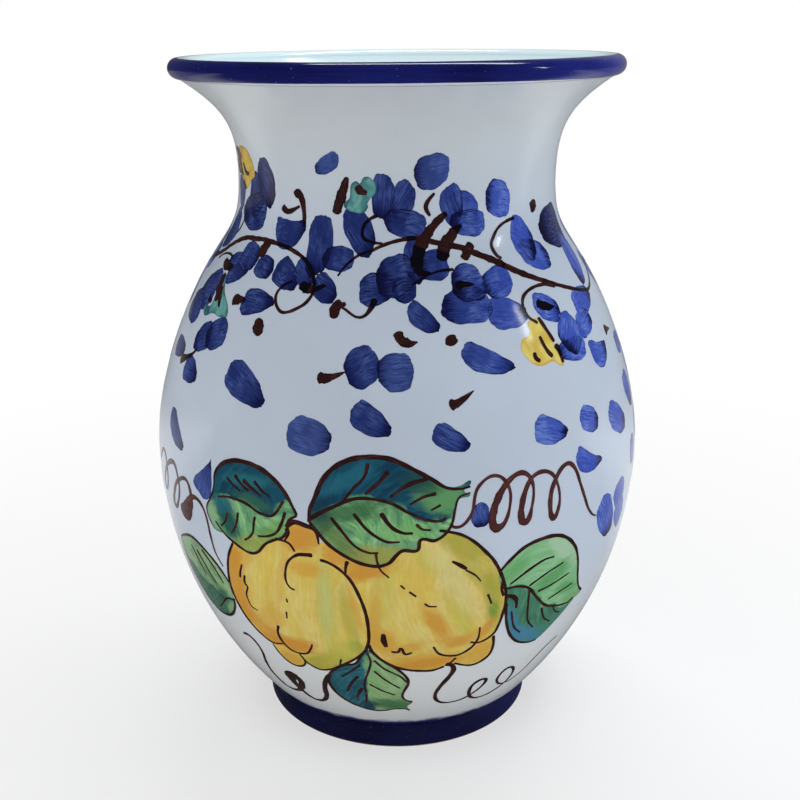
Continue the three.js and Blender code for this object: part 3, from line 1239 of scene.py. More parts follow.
GARLAND = (
    Line(((-152, 216), (-144, 217.5), (-135, 220), (-126, 223.6), (-117, 226.5), (-108, 228.2),
         (-98.6, 228.6), (-89.5, 229), (-80.5, 228.6), (-71.4, 228), (-62, 226.4), (-55, 224.5),
         (-49.5, 221.8), (-45.5, 218.2), (-43.6, 214.5), (-45, 211), (-48.6, 208.2), (-57.7, 205.3),
         (-63.2, 207.7), (-65, 211.4), (-62.3, 214.5), (-57.7, 216.4)), (2.5, 2.2, 1.9, 1.6, 1.3, 1.2)),
    Line(((-135, 217.3), (-129.5, 219.5), (-121.4, 220.5), (-114, 220)), (1, 1)),
    Line(((-85.5, 229.5), (-87, 226), (-88.6, 222.7)), (4.5, 5.2, 4)),
    Line(((-122.7, 218.2), (-116.8, 216.5), (-108.6, 216.4)), (2.5, 4.2, 3)),
    Line(((-94.6, 206), (-90.2, 206.5), (-84.5, 207.2)), (4.6, 4.2, 1.8)),
    Line(((-71.5, 202), (-70, 199), (-68.5, 195.7)), (3, 5.5, 3.5)),
    Line(((-78.2, 242.7), (-73.2, 241), (-63.6, 243.5)), (2.5, 2.2, 1)),
    Line(((-67.4, 247.2), (-64.9, 248.4), (-62.6, 247.2), (-60.9, 243.6), (-59.9, 239.6), (-59.6, 236)),
         (2.6, 3.6, 3, 2.2, 1.7, 0.9)),
    Line(((-52.4, 215.6), (-48.4, 214.7), (-44, 214.3), (-37.7, 216.2)), (3.4, 4.6, 2.6, 1.2)),
    Line(((-122, 234.5), (-125.5, 230), (-129.5, 227.3)), (1, 1)),
    Line(((-126, 176.6), (-122.8, 177.7), (-114.4, 181), (-110, 184.3)), (4, 3.6, 1.6, 1)),
    Line(((-34.4, 184), (-29, 184.6), (-22, 187)), (5, 3, 0.4)),
    Line(((-30.4, 256), (-33.4, 250.4), (-36, 245.6), (-38.2, 241.6)), (1.6, 3.6, 4, 3.4)),
    Line(((-11.7, 241.8), (-17.5, 239.6), (-20.4, 236.7), (-20, 233.3), (-14.2, 231.7), (-8.3, 231.3)),
         (1.4, 1)),
    Line(((-32, 219.5), (-28.3, 223.3), (-21.7, 227), (-14.2, 228.8), (-7.5, 230.8), (1.7, 232.5),
         (11.7, 233.2), (21.7, 231.7), (30, 230.4), (38.3, 229.2), (46.8, 226.8), (57.7, 223.6),
         (71.4, 218.6), (85, 214.5), (98.6, 210.9), (112.3, 207.7), (122.3, 205.9), (130.5, 205.5),
         (140, 208), (150, 212.5)), (0.8, 0.9, 1.1, 1.2, 1.3, 1.5, 1.8, 2, 2.2, 2.4, 2.6, 2.9, 2.7, 2.2,
         1.8, 1.6, 1.4, 1.3, 1.1, 1)),
    Line(((31, 242.2), (28, 240.9), (24, 238.7), (19.5, 235.5), (15.2, 231.5), (12.3, 227.5),
         (11.5, 223.8), (13.4, 221.3), (18.5, 220.7)), (1.8, 2.6, 2.9, 3.6, 4.4, 4.8, 4.5, 2.8, 1.2)),
    Line(((40.5, 237.4), (37, 236.1), (33.3, 233.8), (29.5, 230.6), (27, 227.8), (25.8, 224.8)),
         (1.2, 2.9, 4.4, 4.9, 4.8, 4.2)),
    Line(((45.6, 230.6), (42, 227.8), (38.8, 224.8)), (3.8, 3.3, 3.6)),
    Line(((8.3, 217), (15, 219.6), (23, 221.4), (31.7, 221.8)), (0.7, 0.8, 1.2)),
    Line(((23.3, 250), (19, 246.8), (17.9, 244.5), (20.4, 241.3)), (0.8, 1.9, 1.2)),
    Line(((0, 201.3), (2, 198.6), (5.5, 197.2), (9.6, 197.7)), (3.6, 3.8, 0.5)),
    Line(((24.2, 199.6), (26, 196)), (4.4, 5)),
    Line(((-30.6, 205), (-30.2, 208.4), (-28.8, 211.6)), (3.2, 4.4, 2)),
    Line(((-30, 209), (-25.2, 210.4)), (3.4, 1.4)),
    Line(((-27, 209), (-25.4, 208.5), (-19.2, 206), (-15, 206.7), (-11.7, 210.4), (-10.8, 212.5)),
         (0.9, 1, 2.5)),
    Line(((31, 215.4), (34, 216.5), (38, 216.4), (41.6, 216.2)), (2.6, 3.2, 2.2, 0.5)),
    Line(((75.4, 207), (79, 205.8), (82.5, 204.9), (87.4, 204.4)), (3.2, 4.2, 3.2, 0.7)),
    Line(((62.5, 204.7), (65.3, 205.6), (67.4, 205)), (1, 2.6, 2.2)),
    Line(((80.5, 238.2), (72.3, 237), (66, 235), (61.3, 231.8), (58.8, 229), (60.3, 225.5), (63.2, 224)),
         (1.4, 1.2, 1, 1.3, 1.5, 1.5, 1.3)),
    Line(((94, 211), (86, 212.7), (76, 212.3), (68.6, 210), (66.4, 206.8), (67.5, 203), (72.3, 200)),
         (1.3, 1.3)),
    Line(((102, 244), (101.2, 241.8), (99.2, 238.8)), (3.2, 4.6, 1.6)),
    Line(((127, 188.5), (131, 188.4), (135.8, 187.6)), (4.6, 0.5)),
    Line(((21.7, 175), (26, 176.2), (32.8, 179.8)), (4.6, 2.8, 0.4)),
    Line(((-23.8, 253), (-22.5, 251), (-18, 250)), (2.4, 3.2, 1.4)),
    Line(((-113.4, 213.6), (-112, 208.6), (-108.8, 203.4)), (3.2, 4, 2.8)),
    Line(((-108.8, 209.4), (-106.6, 205.2), (-103.8, 201.8)), (1.1, 2.2, 1.5)),
    Line(((-118.4, 203.6), (-113.6, 202.4)), (3, 1.6)),
    Line(((-126.8, 257.3), (-123, 253.6), (-116.8, 253.2)), (1.6, 2.2, 1.4)),
    Line(((-129.5, 249.5), (-123.2, 246.8)), (2.4, 1.6)),
    Line(((-141, 263), (-137, 258), (-134, 252)), (1.4, 1.8)),
    Line(((-137, 263.5), (-133, 258), (-130, 251.5)), (1.4, 2)),
    Line(((-133, 263), (-129.5, 259)), (1.2, 1.6)), Line(((-143, 258), (-139, 252)), (1.4, 1.8)),
    Line(((73.6, 202), (75.8, 198.2), (77.8, 194.8), (79.2, 192.2)), (1.6, 1.9, 1.9, 1.4)),
    Line(((71, 195.4), (72.2, 192), (73.8, 189.2), (75.9, 187.2)), (1.5, 1.7, 1.9, 1.6)),
    Line(((65.6, 190.2), (65.8, 188), (68, 186.6)), (1.5, 1.9, 1.6)),
    Line(((79.6, 191.4), (80.9, 188), (81.4, 184)), (2.8, 2.2, 1.4)),
    Line(((150, 212.5), (160, 214), (172, 211.5), (184, 213.5), (192.3, 216)), (1.2, 1.6, 2, 1.8)),
)


@dataclass(frozen=True)
class Motif:
    """One filled shape of the painting and the lines drawn over it."""

    name: str
    ring: Way
    spine: Way
    finish: Finish
    lines: tuple[Line, ...] = ()
    lift: float = 0.05 * MM
    grid: float = 3.2

    def build(self, skin: Skin, side: Side) -> Piece:
        """Lays the filled shape on the given side of the vase."""
        patch = Patch(flow(self.ring, 1.2, closed=True), flow(self.spine, 4.0), 3.0)
        made = Film(skin, self.lift, self.grid).build(f"{self.name}_{side.value}", [patch], side)
        made.data.materials.append(self.finish.build())
        return made


ORANGE, AMBER = (208, 144, 54), (213, 164, 66)
OLIVE, LIME, SPRING = (160, 164, 62), (190, 192, 84), (96, 152, 62)
BLOSSOM_LIFT, BLOSSOM_GRID = 0.066 * MM, 2.2
SEA, DEEP_SEA = (34, 100, 118), (18, 56, 78)


def right_lemon() -> Motif:
    """The right lemon, painted first because the left one overlaps it."""
    ring = (
        (-30.4, 114.3), (-31, 120), (-26, 124), (-10, 127), (5, 128.5), (16.3, 128.3), (20, 127.5),
        (25, 125.8), (30, 122.5), (35, 117.5), (39.2, 112.5), (43.3, 105), (45.8, 98.3), (47.1, 91.7),
        (46.7, 85), (45.8, 79.2), (44.6, 75), (45.8, 68.3), (45.4, 63.3), (42.5, 60), (37.5, 58.2),
        (32.5, 59.2), (27.5, 60.8), (22.9, 60), (17.5, 58.2), (11.7, 58.3), (5, 59.3), (-1.7, 61.7),
        (-7.5, 65.8), (-11.3, 70.8), (-13, 76), (-13, 84), (-13.8, 91.2), (-16, 98.7), (-19.3, 106.2),
        (-24, 111),
    )
    spine = ((-4, 124), (-4, 100), (4, 76), (16, 60))
    washes = (
        Wash(-6, 99, 46, 9, 82, LIME, 0.45), Wash(26, 95, 42, 10, -72, LIME, 0.6),
        Wash(41, 94, 34, 8, -80, OLIVE, 0.8), Wash(42, 88, 10, 4, -80, SPRING, 0.8),
        Wash(26, 121, 26, 10, -32, OLIVE, 0.8), Wash(15, 114, 22, 9, -40, LIME, 0.6),
        Wash(-12, 111, 22, 8, 15, ORANGE, 0.9), Wash(-22, 117, 16, 10, 0, ORANGE, 0.8),
        Wash(17, 85, 18, 7, -58, ORANGE, 0.8), Wash(30, 75, 16, 5, 25, AMBER, 0.7),
        Wash(24, 105, 44, 11, -58, (226, 213, 152), 0.6), Wash(33, 107, 24, 7, -52, OLIVE, 0.6),
        Wash(26, 74.5, 18, 6, -12, ORANGE, 0.6), Wash(40, 66, 16, 12, 70, AMBER, 0.8),
        Wash(12, 63, 44, 11, 0, AMBER, 0.9), Wash(14, 63, 30, 5, 6, ORANGE, 0.8),
        Wash(-6, 76, 16, 12, -60, AMBER, 0.9), Wash(5, 72, 16, 6, 20, ORANGE, 0.55),
        Wash(40, 79, 12, 5, 60, ORANGE, 0.8), Wash(-9, 90, 26, 5, 85, AMBER, 0.7),
    )
    finish = FruitPaint("right_lemon_paint", washes=washes)
    lines = (
        Line(ring[5:16] + ((44.2, 75), (38.3, 71.7), (33.3, 72.7)), (1.6, 2.1, 2.3, 2.2, 2, 1.4)),
        Line(((44.6, 73.8),) + ring[17:22] + ((27.5, 61.3),), (2, 2.1, 1.6)),
        Line(ring[23:30] + ((-12.5, 74.2),), (2.1, 2.3, 2.2)),
        Line(((21.7, 114.6), (25, 112.5), (27.9, 110.4)), (1.6, 2.6, 2)),
        Line(((27.5, 110), (31.7, 107), (34.3, 103.8)), (1.4, 1)),
        Line(((1.5, 104.8), (3.3, 103)), (1.4, 1.2)), Line(((5, 101.7), (7.9, 99.2)), (1.4, 1.2)),
        Line(((11.3, 95.7), (13.3, 94.2), (16.5, 93.9)), (1.3, 1.1)),
        Line(((38, 97), (40.4, 91.7)), (1.6, 1.4)),
        Line(((16.3, 72.5), (19.2, 68.3), (24.2, 66.3), (29.2, 66.3), (34.2, 69.2), (36.7, 73.3),
             (37, 77.5), (36.7, 80.4)), (1.4, 1.8, 1.8, 1.2)),
        Line(((27.9, 64.6), (25.4, 61.7)), (1.8, 1.6)),
        Line(((-5.8, 80.4), (-5.6, 76.5), (-4.6, 73)), (3, 3.8, 2.6)),
        Line(((-2.5, 70.4), (0.8, 70.4), (1.8, 72.5), (3.8, 69), (7, 69.8)), (1.8, 1.8)),
        Line(((-7.5, 115.4), (-6.3, 111.7), (-2.9, 108.2)), (1.4, 1)),
        Line(((-19.2, 115), (-20, 112), (-20.2, 108.7)), (2.6, 1.2)),
    )
    return Motif("right_lemon", ring, spine, finish, lines)


def left_lemon() -> Motif:
    """The left lemon, with its stalk end at the top."""
    ring = (
        (-44.2, 126.2), (-40.8, 129), (-35.8, 128.5), (-31.7, 126.6), (-30, 121), (-29, 114),
        (-26.7, 113.3), (-22.5, 110.8), (-18.3, 106.2), (-15, 98.7), (-12.9, 91.2), (-12.1, 83.7),
        (-12.3, 76.2), (-13.8, 71.2), (-16.7, 67.4), (-21.7, 63.3), (-27.5, 59.5), (-33.3, 56.2),
        (-39.2, 54.9), (-45, 56.6), (-48.3, 54.9), (-52.9, 53.5), (-57.5, 54.9), (-60.8, 58.7),
        (-62.9, 63.7), (-67.5, 67), (-73.3, 72.8), (-77.1, 80.3), (-78.8, 88.7), (-78.3, 96.2),
        (-75.8, 105.3), (-71.7, 112.8), (-60, 118), (-49, 120.5), (-45.3, 122),
    )
    spine = ((-38, 126), (-44, 104), (-46, 82), (-44, 56))
    washes = (
        Wash(-29, 90, 48, 9, 88, LIME, 0.5), Wash(-30, 94, 40, 6, 88, (190, 204, 132), 0.7),
        Wash(-20, 88, 34, 6, -84, OLIVE, 0.55), Wash(-17, 92, 24, 3.5, -80, AMBER, 0.7),
        Wash(-18.5, 72, 7, 7, 60, SPRING, 0.8), Wash(-33, 60, 32, 12, 15, OLIVE, 0.85),
        Wash(-25, 68, 22, 10, 40, LIME, 0.7), Wash(-74, 90, 46, 11, 85, ORANGE, 0.85),
        Wash(-69, 76, 24, 9, -52, ORANGE, 0.7), Wash(-58, 80, 18, 12, 50, AMBER, 0.6),
        Wash(-61, 67.5, 18, 5, -5, ORANGE, 0.9), Wash(-48, 67.5, 20, 8, 5, ORANGE, 0.95),
        Wash(-57, 70, 14, 6, -30, ORANGE, 0.8), Wash(-54, 58, 14, 8, 0, AMBER, 0.85),
        Wash(-38, 123, 18, 12, 10, ORANGE, 0.9), Wash(-37, 109, 14, 7, 0, AMBER, 0.8),
        Wash(-67, 107, 22, 7, 45, AMBER, 0.6), Wash(-48, 104, 40, 4, 75, AMBER, 0.5),
        Wash(-72, 106, 14, 6, 60, ORANGE, 0.8),
    )
    finish = FruitPaint("left_lemon_paint", washes=washes)
    lines = (
        Line(ring[31:24:-1] + ((-62.5, 64.7), (-56, 66)), (1.8, 2.1, 2.2, 2, 1.3)),
        Line(ring[24:19:-1] + ((-46.3, 57.8), (-47.1, 61.2)), (1.4, 1.8, 1.4)),
        Line(((-48.5, 63), (-45, 57.6)) + ring[18:5:-1] + ((-30.4, 114.3),), (1.3, 1.9, 2.2, 2.2, 1.8)),
        Line(((-44.2, 126.2), (-40.8, 129), (-35.8, 128.3), (-31.7, 126.6), (-30.4, 121)),
             (2.8, 3.2, 2.4, 1)),
        Line(((-44, 126), (-43.3, 123.7), (-45, 120.3)), (3.2, 2.2, 1.2)),
        Line(((-49.2, 120.5), (-43.3, 119.5), (-40.8, 116.2)), (1.8, 1.4)),
        Line(((-33.3, 115.8), (-36.5, 115.6), (-40, 114.9), (-44.2, 111.2), (-46, 106.2), (-46.3, 102),
             (-45, 99), (-42.7, 98)), (2.8, 1.8, 1.5, 1.3)),
        Line(((-68.3, 103.7), (-70, 99.9), (-71, 96.6)), (1.4, 1.8)),
        Line(((-67.9, 98.7), (-68.8, 94.5), (-67.6, 93), (-69.4, 89), (-69.3, 85.5), (-68.3, 82.8),
             (-65, 81.6)), (2, 1.2, 1)),
        Line(((-47.5, 92.8), (-47.3, 90.8)), (1.3, 1.1)), Line(((-48.8, 85.8), (-49.3, 82)), (1.2, 1)),
        Line(((-55.2, 76.6), (-56.8, 72), (-55.8, 67.4), (-52.5, 63.8), (-48.3, 62.8), (-43.3, 64),
             (-40.4, 67.8), (-39.3, 70.3)), (2, 1.8, 1.6, 1.2)),
        Line(((-26.3, 64), (-27.5, 59.9)), (1.3, 1.2)),
    )
    return Motif("left_lemon", ring, spine, finish, lines, 0.058 * MM)


def top_left_leaf() -> Motif:
    """The folded leaf over the left lemon."""
    ring = (
        (-80, 141), (-76.5, 145.5), (-70, 148.5), (-62.5, 149), (-55, 147.7), (-48.5, 144.3), (-44, 140),
        (-40.5, 134.5), (-39.2, 132), (-43, 129), (-43.5, 125), (-46, 121.5), (-50, 119.5), (-54, 117),
        (-58.7, 112), (-63, 110.8), (-69, 112.5), (-75.5, 115.5), (-82, 116), (-85.5, 121), (-86, 125),
        (-83.5, 129), (-81.5, 132.5), (-80.5, 136),
    )
    spine = (
        (-82, 128), (-78.7, 131.4), (-72, 133), (-63, 132.6), (-55.3, 129.8), (-49.8, 130.3), (-44.8, 137),
    )
    washes = (
        Wash(-73, 123, 20, 10, -65, (26, 80, 78), 0.95), Wash(-76, 129, 12, 7, 10, SEA, 0.8),
        Wash(-55, 117, 32, 7, 15, OLIVE, 0.7), Wash(-50, 123, 14, 7, 30, (110, 160, 84), 0.7),
        Wash(-83.5, 122, 7, 14, 0, (142, 176, 142), 0.8), Wash(-59, 134, 18, 5, -10, (56, 106, 78), 0.7),
        Wash(-62, 142, 24, 5, 5, (44, 120, 128), 0.6),
    )
    finish = LeafPaint("top_left_leaf_paint", below=(100, 160, 104), washes=washes)
    lines = (
        Line(ring[23:] + ring[:9], (1.4, 2.4, 2.8, 2.8, 2.4, 1.6)),
        Line(ring[8:18] + ((-81, 120),), (1.8, 1.8, 1.8, 1.9, 1.2)), Line(ring[18:], (0.7, 1.2, 1.4)),
        Line(spine[1:], (1.2, 1.9, 1.9, 1.8)), Line(((-68.7, 143), (-65, 140), (-61, 138)), (2.6, 1.4)),
        Line(((-64.2, 142), (-59, 139), (-54.8, 137)), (3, 1.6)),
        Line(((-58.7, 142.6), (-55, 139.6), (-51, 137.6)), (2.2, 1.2)),
        Line(((-73, 141), (-69, 138.6), (-65.3, 137)), (2.2, 1.2)),
        Line(((-73, 126), (-74.5, 122), (-77.6, 118.7)), (1.6, 1.2)),
        Line(((-67, 127.6), (-68.5, 122), (-71.8, 117)), (1.9, 1.3)),
        Line(((-58.3, 128), (-59.2, 124.5), (-59.8, 121), (-62, 118), (-64.8, 116)), (1.9, 1.3)),
        Line(((-44.2, 132.6), (-46, 127.5), (-48.7, 123), (-53, 120.6), (-57.6, 119.6)), (2, 1.8, 1.2)),
    )
    return Motif("top_left_leaf", ring, spine, finish, lines, 0.07 * MM)


def top_centre_leaf() -> Motif:
    """The large leaf between the lemons."""
    ring = (
        (-34.2, 129.8), (-33.7, 135.3), (-31.4, 141), (-28.7, 147.6), (-24.2, 152.6), (-17.6, 156),
        (-9.8, 157.2), (-2, 156.4), (5.8, 153), (13.6, 148.7), (19, 145.3), (24.7, 145.6), (29, 147),
        (26, 143.4), (28.6, 141.6), (24, 140.4), (22.4, 136.4), (21.3, 131), (19, 127), (14.7, 124.2),
        (9.3, 124.8), (8, 120.3), (2.4, 120.3), (-0.3, 118), (-3, 114.8), (-7.6, 113.3), (-14.2, 114.4),
        (-21, 117.6), (-26.4, 121.4), (-31, 126.4),
    )
    spine = (
        (-34.2, 131), (-29.8, 134.2), (-23, 138), (-16.4, 141), (-9.8, 141.4), (-2, 139.8), (4.7, 136),
        (11.3, 133), (16.3, 132.2), (19, 133.3),
    )
    washes = (
        Wash(19, 141, 22, 12, -10, (98, 154, 98), 0.95), Wash(9, 147, 16, 6, -22, (42, 86, 68), 0.8),
        Wash(-8, 118, 26, 8, 0, (160, 156, 76), 0.85), Wash(-22, 123.5, 18, 7, -45, (102, 124, 68), 0.8),
        Wash(-18, 135.5, 30, 7, 12, (58, 106, 70), 0.85), Wash(-29, 130, 12, 8, 40, (58, 90, 66), 0.8),
        Wash(-29, 138, 14, 7, 60, DEEP_SEA, 0.8), Wash(-18, 149, 30, 6, 30, (38, 112, 134), 0.6),
        Wash(0, 151, 22, 5, -25, DEEP_SEA, 0.5), Wash(3, 128, 18, 6, 10, (120, 178, 104), 0.6),
    )
    finish = LeafPaint("top_centre_leaf_paint", above=(23, 84, 108), below=(96, 162, 96), washes=washes)
    lines = (
        Line(ring[:11] + ((24.7, 144.4), (28.6, 145)), (2.2, 3, 3, 2.8, 2.4, 1.3)),
        Line(((28.6, 142.6), (24, 141)) + ring[16:] + ((-34, 130),), (1, 1.8, 2.2, 2.3, 2.3, 2.4)),
        Line(spine[:], (2.6, 2.1, 2, 1.6)),
        Line(((-11, 154.8), (-12.5, 149.5), (-16.4, 145.3), (-21, 139.2)), (2.2, 1.4)),
        Line(((-3, 152), (-8, 146.5), (-12, 143)), (2.8, 1.6)),
        Line(((12.4, 149.2), (4.7, 147), (-2.6, 142.2)), (2, 2.6, 1.6)),
        Line(((15.2, 143.3), (10, 142), (5, 139.2)), (2.2, 1.3)),
        Line(((16.9, 138.7), (13, 136.7)), (1.6, 1.2)),
        Line(((-25.3, 133), (-21, 127.6), (-16.4, 122), (-11, 119.2), (-7, 119.2)), (2.2, 1.3)),
        Line(((-16.4, 135.3), (-11, 128.7), (-4.2, 124.2), (1.3, 124)), (2.3, 1.4)),
        Line(((-6, 136), (-2, 130.3), (2.4, 127.8), (6.3, 127.6)), (3, 1.5)),
        Line(((7.4, 131.4), (9.7, 129.2), (13.2, 128.7)), (1.8, 1.2)),
        Line(((-8, 118.7), (-7.3, 113.7)), (1.6, 1.4)),
    )
    return Motif("top_centre_leaf", ring, spine, finish, lines, 0.072 * MM)


def right_leaf() -> Motif:
    """The leaf to the right of the right lemon."""
    ring = (
        (42.2, 106.7), (46.7, 111.4), (53.3, 116), (62.2, 117.6), (70, 116.7), (76.7, 113), (82.2, 107),
        (85.6, 99.8), (88.3, 92), (92.2, 84.8), (97, 80.6), (92.2, 78), (86.7, 73), (79, 66.4),
        (73.3, 62.6), (67.8, 63), (60, 66), (54.4, 71), (50.6, 77.6), (48.3, 85.3), (47.8, 90.3),
        (46.6, 96), (43, 101),
    )
    spine = (
        (43, 99), (46, 98), (52.2, 97.6), (57.8, 95.3), (63.3, 89.2), (70, 83), (77.8, 79.8), (86.7, 78),
        (95, 80),
    )
    washes = (
        Wash(76, 108, 28, 7, -38, (174, 202, 174), 0.75), Wash(64, 69, 34, 8, -24, (70, 130, 160), 0.9),
        Wash(53, 80, 20, 5, -62, (64, 128, 160), 0.8), Wash(79, 71, 18, 8, 20, (72, 128, 108), 0.8),
        Wash(70, 97, 22, 8, 28, (86, 154, 92), 0.8), Wash(82, 88, 16, 6, -15, (88, 156, 92), 0.75),
        Wash(49, 106, 15, 8, 35, (96, 164, 98), 0.7), Wash(88, 81, 14, 5, -10, (112, 166, 104), 0.7),
    )
    finish = LeafPaint(
        "right_leaf_paint", above=(146, 194, 150), below=(58, 114, 90), light=(82, 138, 108),
        dark=(58, 112, 86), above_dark=(118, 178, 122), washes=washes,
    )
    lines = (
        Line(ring[:11], (1.8, 2.5, 2.5, 2.2, 1.8, 1.5)), Line(ring[20:13:-1], (1.8, 2, 1.9, 1.2)),
        Line(((44.5, 99),) + spine[1:8] + ((91, 79.2),), (1.6, 2, 1.8, 1.4)),
        Line(((47.8, 99.6), (55.6, 104.2), (63.3, 107.2), (69, 107.3)), (1.4, 2, 1.2)),
        Line(((57.8, 96.4), (66.7, 100.3), (75.6, 102.6)), (1.6, 1.2)),
        Line(((63.3, 92), (70, 93), (81, 95.6)), (1.7, 1.2)),
        Line(((71, 85.6), (79, 87.6), (85.6, 88.7)), (1.5, 1.1)),
        Line(((46.7, 94.2), (50, 93.2), (52.2, 91), (53.3, 86.4)), (2.6, 3, 1.6)),
        Line(((58.3, 94.2), (59.4, 86.4), (61.7, 77.6), (66.7, 72)), (1.8, 1.2)),
        Line(((51, 85.3), (54.4, 76.4), (59.4, 71.4)), (1.5, 1.2)),
        Line(((68.3, 82), (72.2, 75.3), (77.8, 71.4)), (1.6, 1.1)),
        Line(((75.6, 81), (79, 76.4), (83.3, 74.2)), (1.4, 1)),
        Line(((44.2, 104), (44, 99), (45.5, 94.5)), (1.6, 1.8)),
    )
    return Motif("right_leaf", ring, spine, finish, lines, 0.068 * MM)


def left_leaf() -> Motif:
    """The leaf that turns away at the left."""
    ring = (
        (-122.5, 93), (-119, 99), (-112, 102.5), (-105, 104.7), (-99, 104.5), (-92, 102), (-86, 98.5),
        (-82, 94.5), (-79.7, 91), (-79.7, 83), (-81, 78), (-85, 73), (-90, 70), (-97, 68.5), (-103, 69.5),
        (-110, 73), (-116, 79), (-120, 86),
    )
    spine = ((-80, 82), (-86, 82), (-95, 84), (-106, 87), (-120, 92))
    washes = (
        Wash(-92, 87, 24, 5, -38, (66, 120, 76), 0.7), Wash(-84, 76, 12, 5, 50, (150, 190, 142), 0.6),
        Wash(-88, 82, 10, 5, 30, DEEP_SEA, 0.5),
    )
    finish = LeafPaint(
        "left_leaf_paint", above=(74, 120, 94), below=(132, 172, 122), light=(158, 188, 148),
        dark=(58, 104, 84), above_dark=(54, 98, 80), washes=washes,
    )
    lines = (
        Line(ring[1:8] + ((-79.5, 91),), (1.2, 2.2, 2.2, 1.8)),
        Line(((-79.5, 83),) + ring[10:16], (1.8, 2.2, 1.8, 1)),
        Line(((-106, 100), (-102, 95), (-98, 88)), (2.2, 1.2)),
        Line(((-101, 99.5), (-96, 94), (-90.5, 86.5)), (2.2, 1.2)),
        Line(((-96, 101.5), (-89, 96), (-84, 89)), (2.2, 1.2)),
        Line(((-80, 82), (-85, 81), (-90, 77), (-96, 72)), (1.8, 1.2)),
    )
    return Motif("left_leaf", ring, spine, finish, lines, 0.062 * MM)


def bottom_leaf() -> Motif:
    """The leaf under the lemons."""
    ring = (
        (-13.5, 71), (-17, 66), (-20, 62), (-25, 60.5), (-31, 56.5), (-35.2, 51.5), (-36.3, 46), (-34, 39),
        (-28.5, 33.5), (-21.5, 30), (-15, 28.3), (-8, 28.5), (-2, 30), (5, 30), (8, 28.5), (6, 32),
        (9, 36), (4.5, 38), (3, 41), (4, 45), (5.8, 50), (5, 54), (1, 59), (-4, 63), (-9, 67),
    )
    spine = ((-13.3, 69), (-12.2, 64), (-14, 57.2), (-16.7, 49.4), (-16.7, 42.8), (-15, 32))
    washes = (
        Wash(-2, 34, 26, 8, -6, (52, 106, 68), 0.85), Wash(-13, 60, 14, 5, -80, (132, 180, 124), 0.8),
        Wash(-16, 33, 10, 7, 0, DEEP_SEA, 0.7), Wash(0, 50, 16, 5, 60, (160, 200, 150), 0.5),
    )
    finish = LeafPaint(
        "bottom_leaf_paint", above=(152, 188, 134), below=(30, 82, 98), above_dark=(124, 168, 110),
        light=(52, 116, 128), dark=(20, 58, 68), washes=washes,
    )
    lines = (
        Line(ring[:15], (1.2, 1.8, 2.4, 2.2, 1.8, 1)),
        Line(((-12.5, 71),) + ring[24:15:-1], (1.2, 1.9, 1.9, 1.2)), Line(spine[:5], (1.4, 1.6)),
        Line(((-10.6, 65), (-6, 60), (1.7, 55), (5, 51)), (1.7, 1.3)),
        Line(((-11, 58.3), (-6, 52.8), (1.7, 46.7)), (1.7, 1.2)),
        Line(((-14.2, 49.2), (-8, 45), (-1, 41.7)), (1.7, 1.2)),
        Line(((-17.2, 61.7), (-22.8, 56.7), (-28.3, 52.2)), (1.9, 1.3)),
        Line(((-19.4, 54), (-24, 48.3), (-27.2, 42.2)), (2.5, 1.5)),
        Line(((-18.3, 46), (-21, 41.5), (-22.8, 37.8)), (2.5, 1.5)),
        Line(((-16.7, 41.7), (-17.8, 34)), (1.6, 1.2)),
    )
    return Motif("bottom_leaf", ring, spine, finish, lines, 0.066 * MM)


def blossoms() -> tuple[Motif, ...]:
    """The two teal and two yellow blossoms of the garland."""
    teal = BlossomPaint("teal_paint")
    yellow = BlossomPaint("yellow_paint", base=(222, 202, 96), dark=(204, 164, 58), light=(230, 216, 132))
    ochre = BlossomPaint("ochre_paint", base=(204, 170, 54), dark=(166, 126, 40), light=(216, 192, 96))
    shapes = (
        (
            "teal_blossom_centre", teal,
            (
                (-29, 248), (-28, 253), (-24.5, 254.5), (-22.5, 253.5), (-20, 256), (-16, 256),
                (-12.5, 253), (-13, 250), (-16, 248), (-18, 246), (-17.4, 244.8), (-20, 242.6),
                (-26, 242.6), (-30, 243.4), (-33, 245.4),
            ),
            ((-14, 254), (-30, 243)),
        ),
        (
            "teal_blossom_left", teal,
            (
                (-114, 214), (-105, 208), (-94, 200.5), (-100.5, 198.6), (-107.7, 199), (-115, 196.8),
                (-119, 200), (-112.3, 201.4), (-113, 207.3),
            ),
            ((-114, 214), (-104, 199)),
        ),
        (
            "yellow_blossom_left", ochre,
            (
                (-138, 258), (-135, 262), (-126, 264.5), (-114, 262.3), (-108, 253.6), (-113, 251),
                (-118.6, 248), (-124, 246.8), (-131.4, 250.5), (-137, 253),
            ),
            ((-137, 258), (-109, 254)),
        ),
        (
            "yellow_blossom_right", yellow,
            (
                (64.6, 196.3), (66.2, 198), (66, 200.4), (69, 201.6), (72, 201.8), (74.2, 200.4),
                (76.6, 197), (78, 193.4), (78.6, 190), (80.4, 186.6), (81.4, 183.2), (78.6, 183.8),
                (75.6, 185.6), (72, 185.2), (68, 184.8), (64, 186), (61, 188.4), (59.2, 191), (59, 193.5),
                (61.4, 195.6),
            ),
            ((66, 199), (78, 185)),
        ),
    )
    return tuple(
        Motif(name, ring, spine, finish, lift=BLOSSOM_LIFT, grid=BLOSSOM_GRID)
        for name, finish, ring, spine in shapes
    )


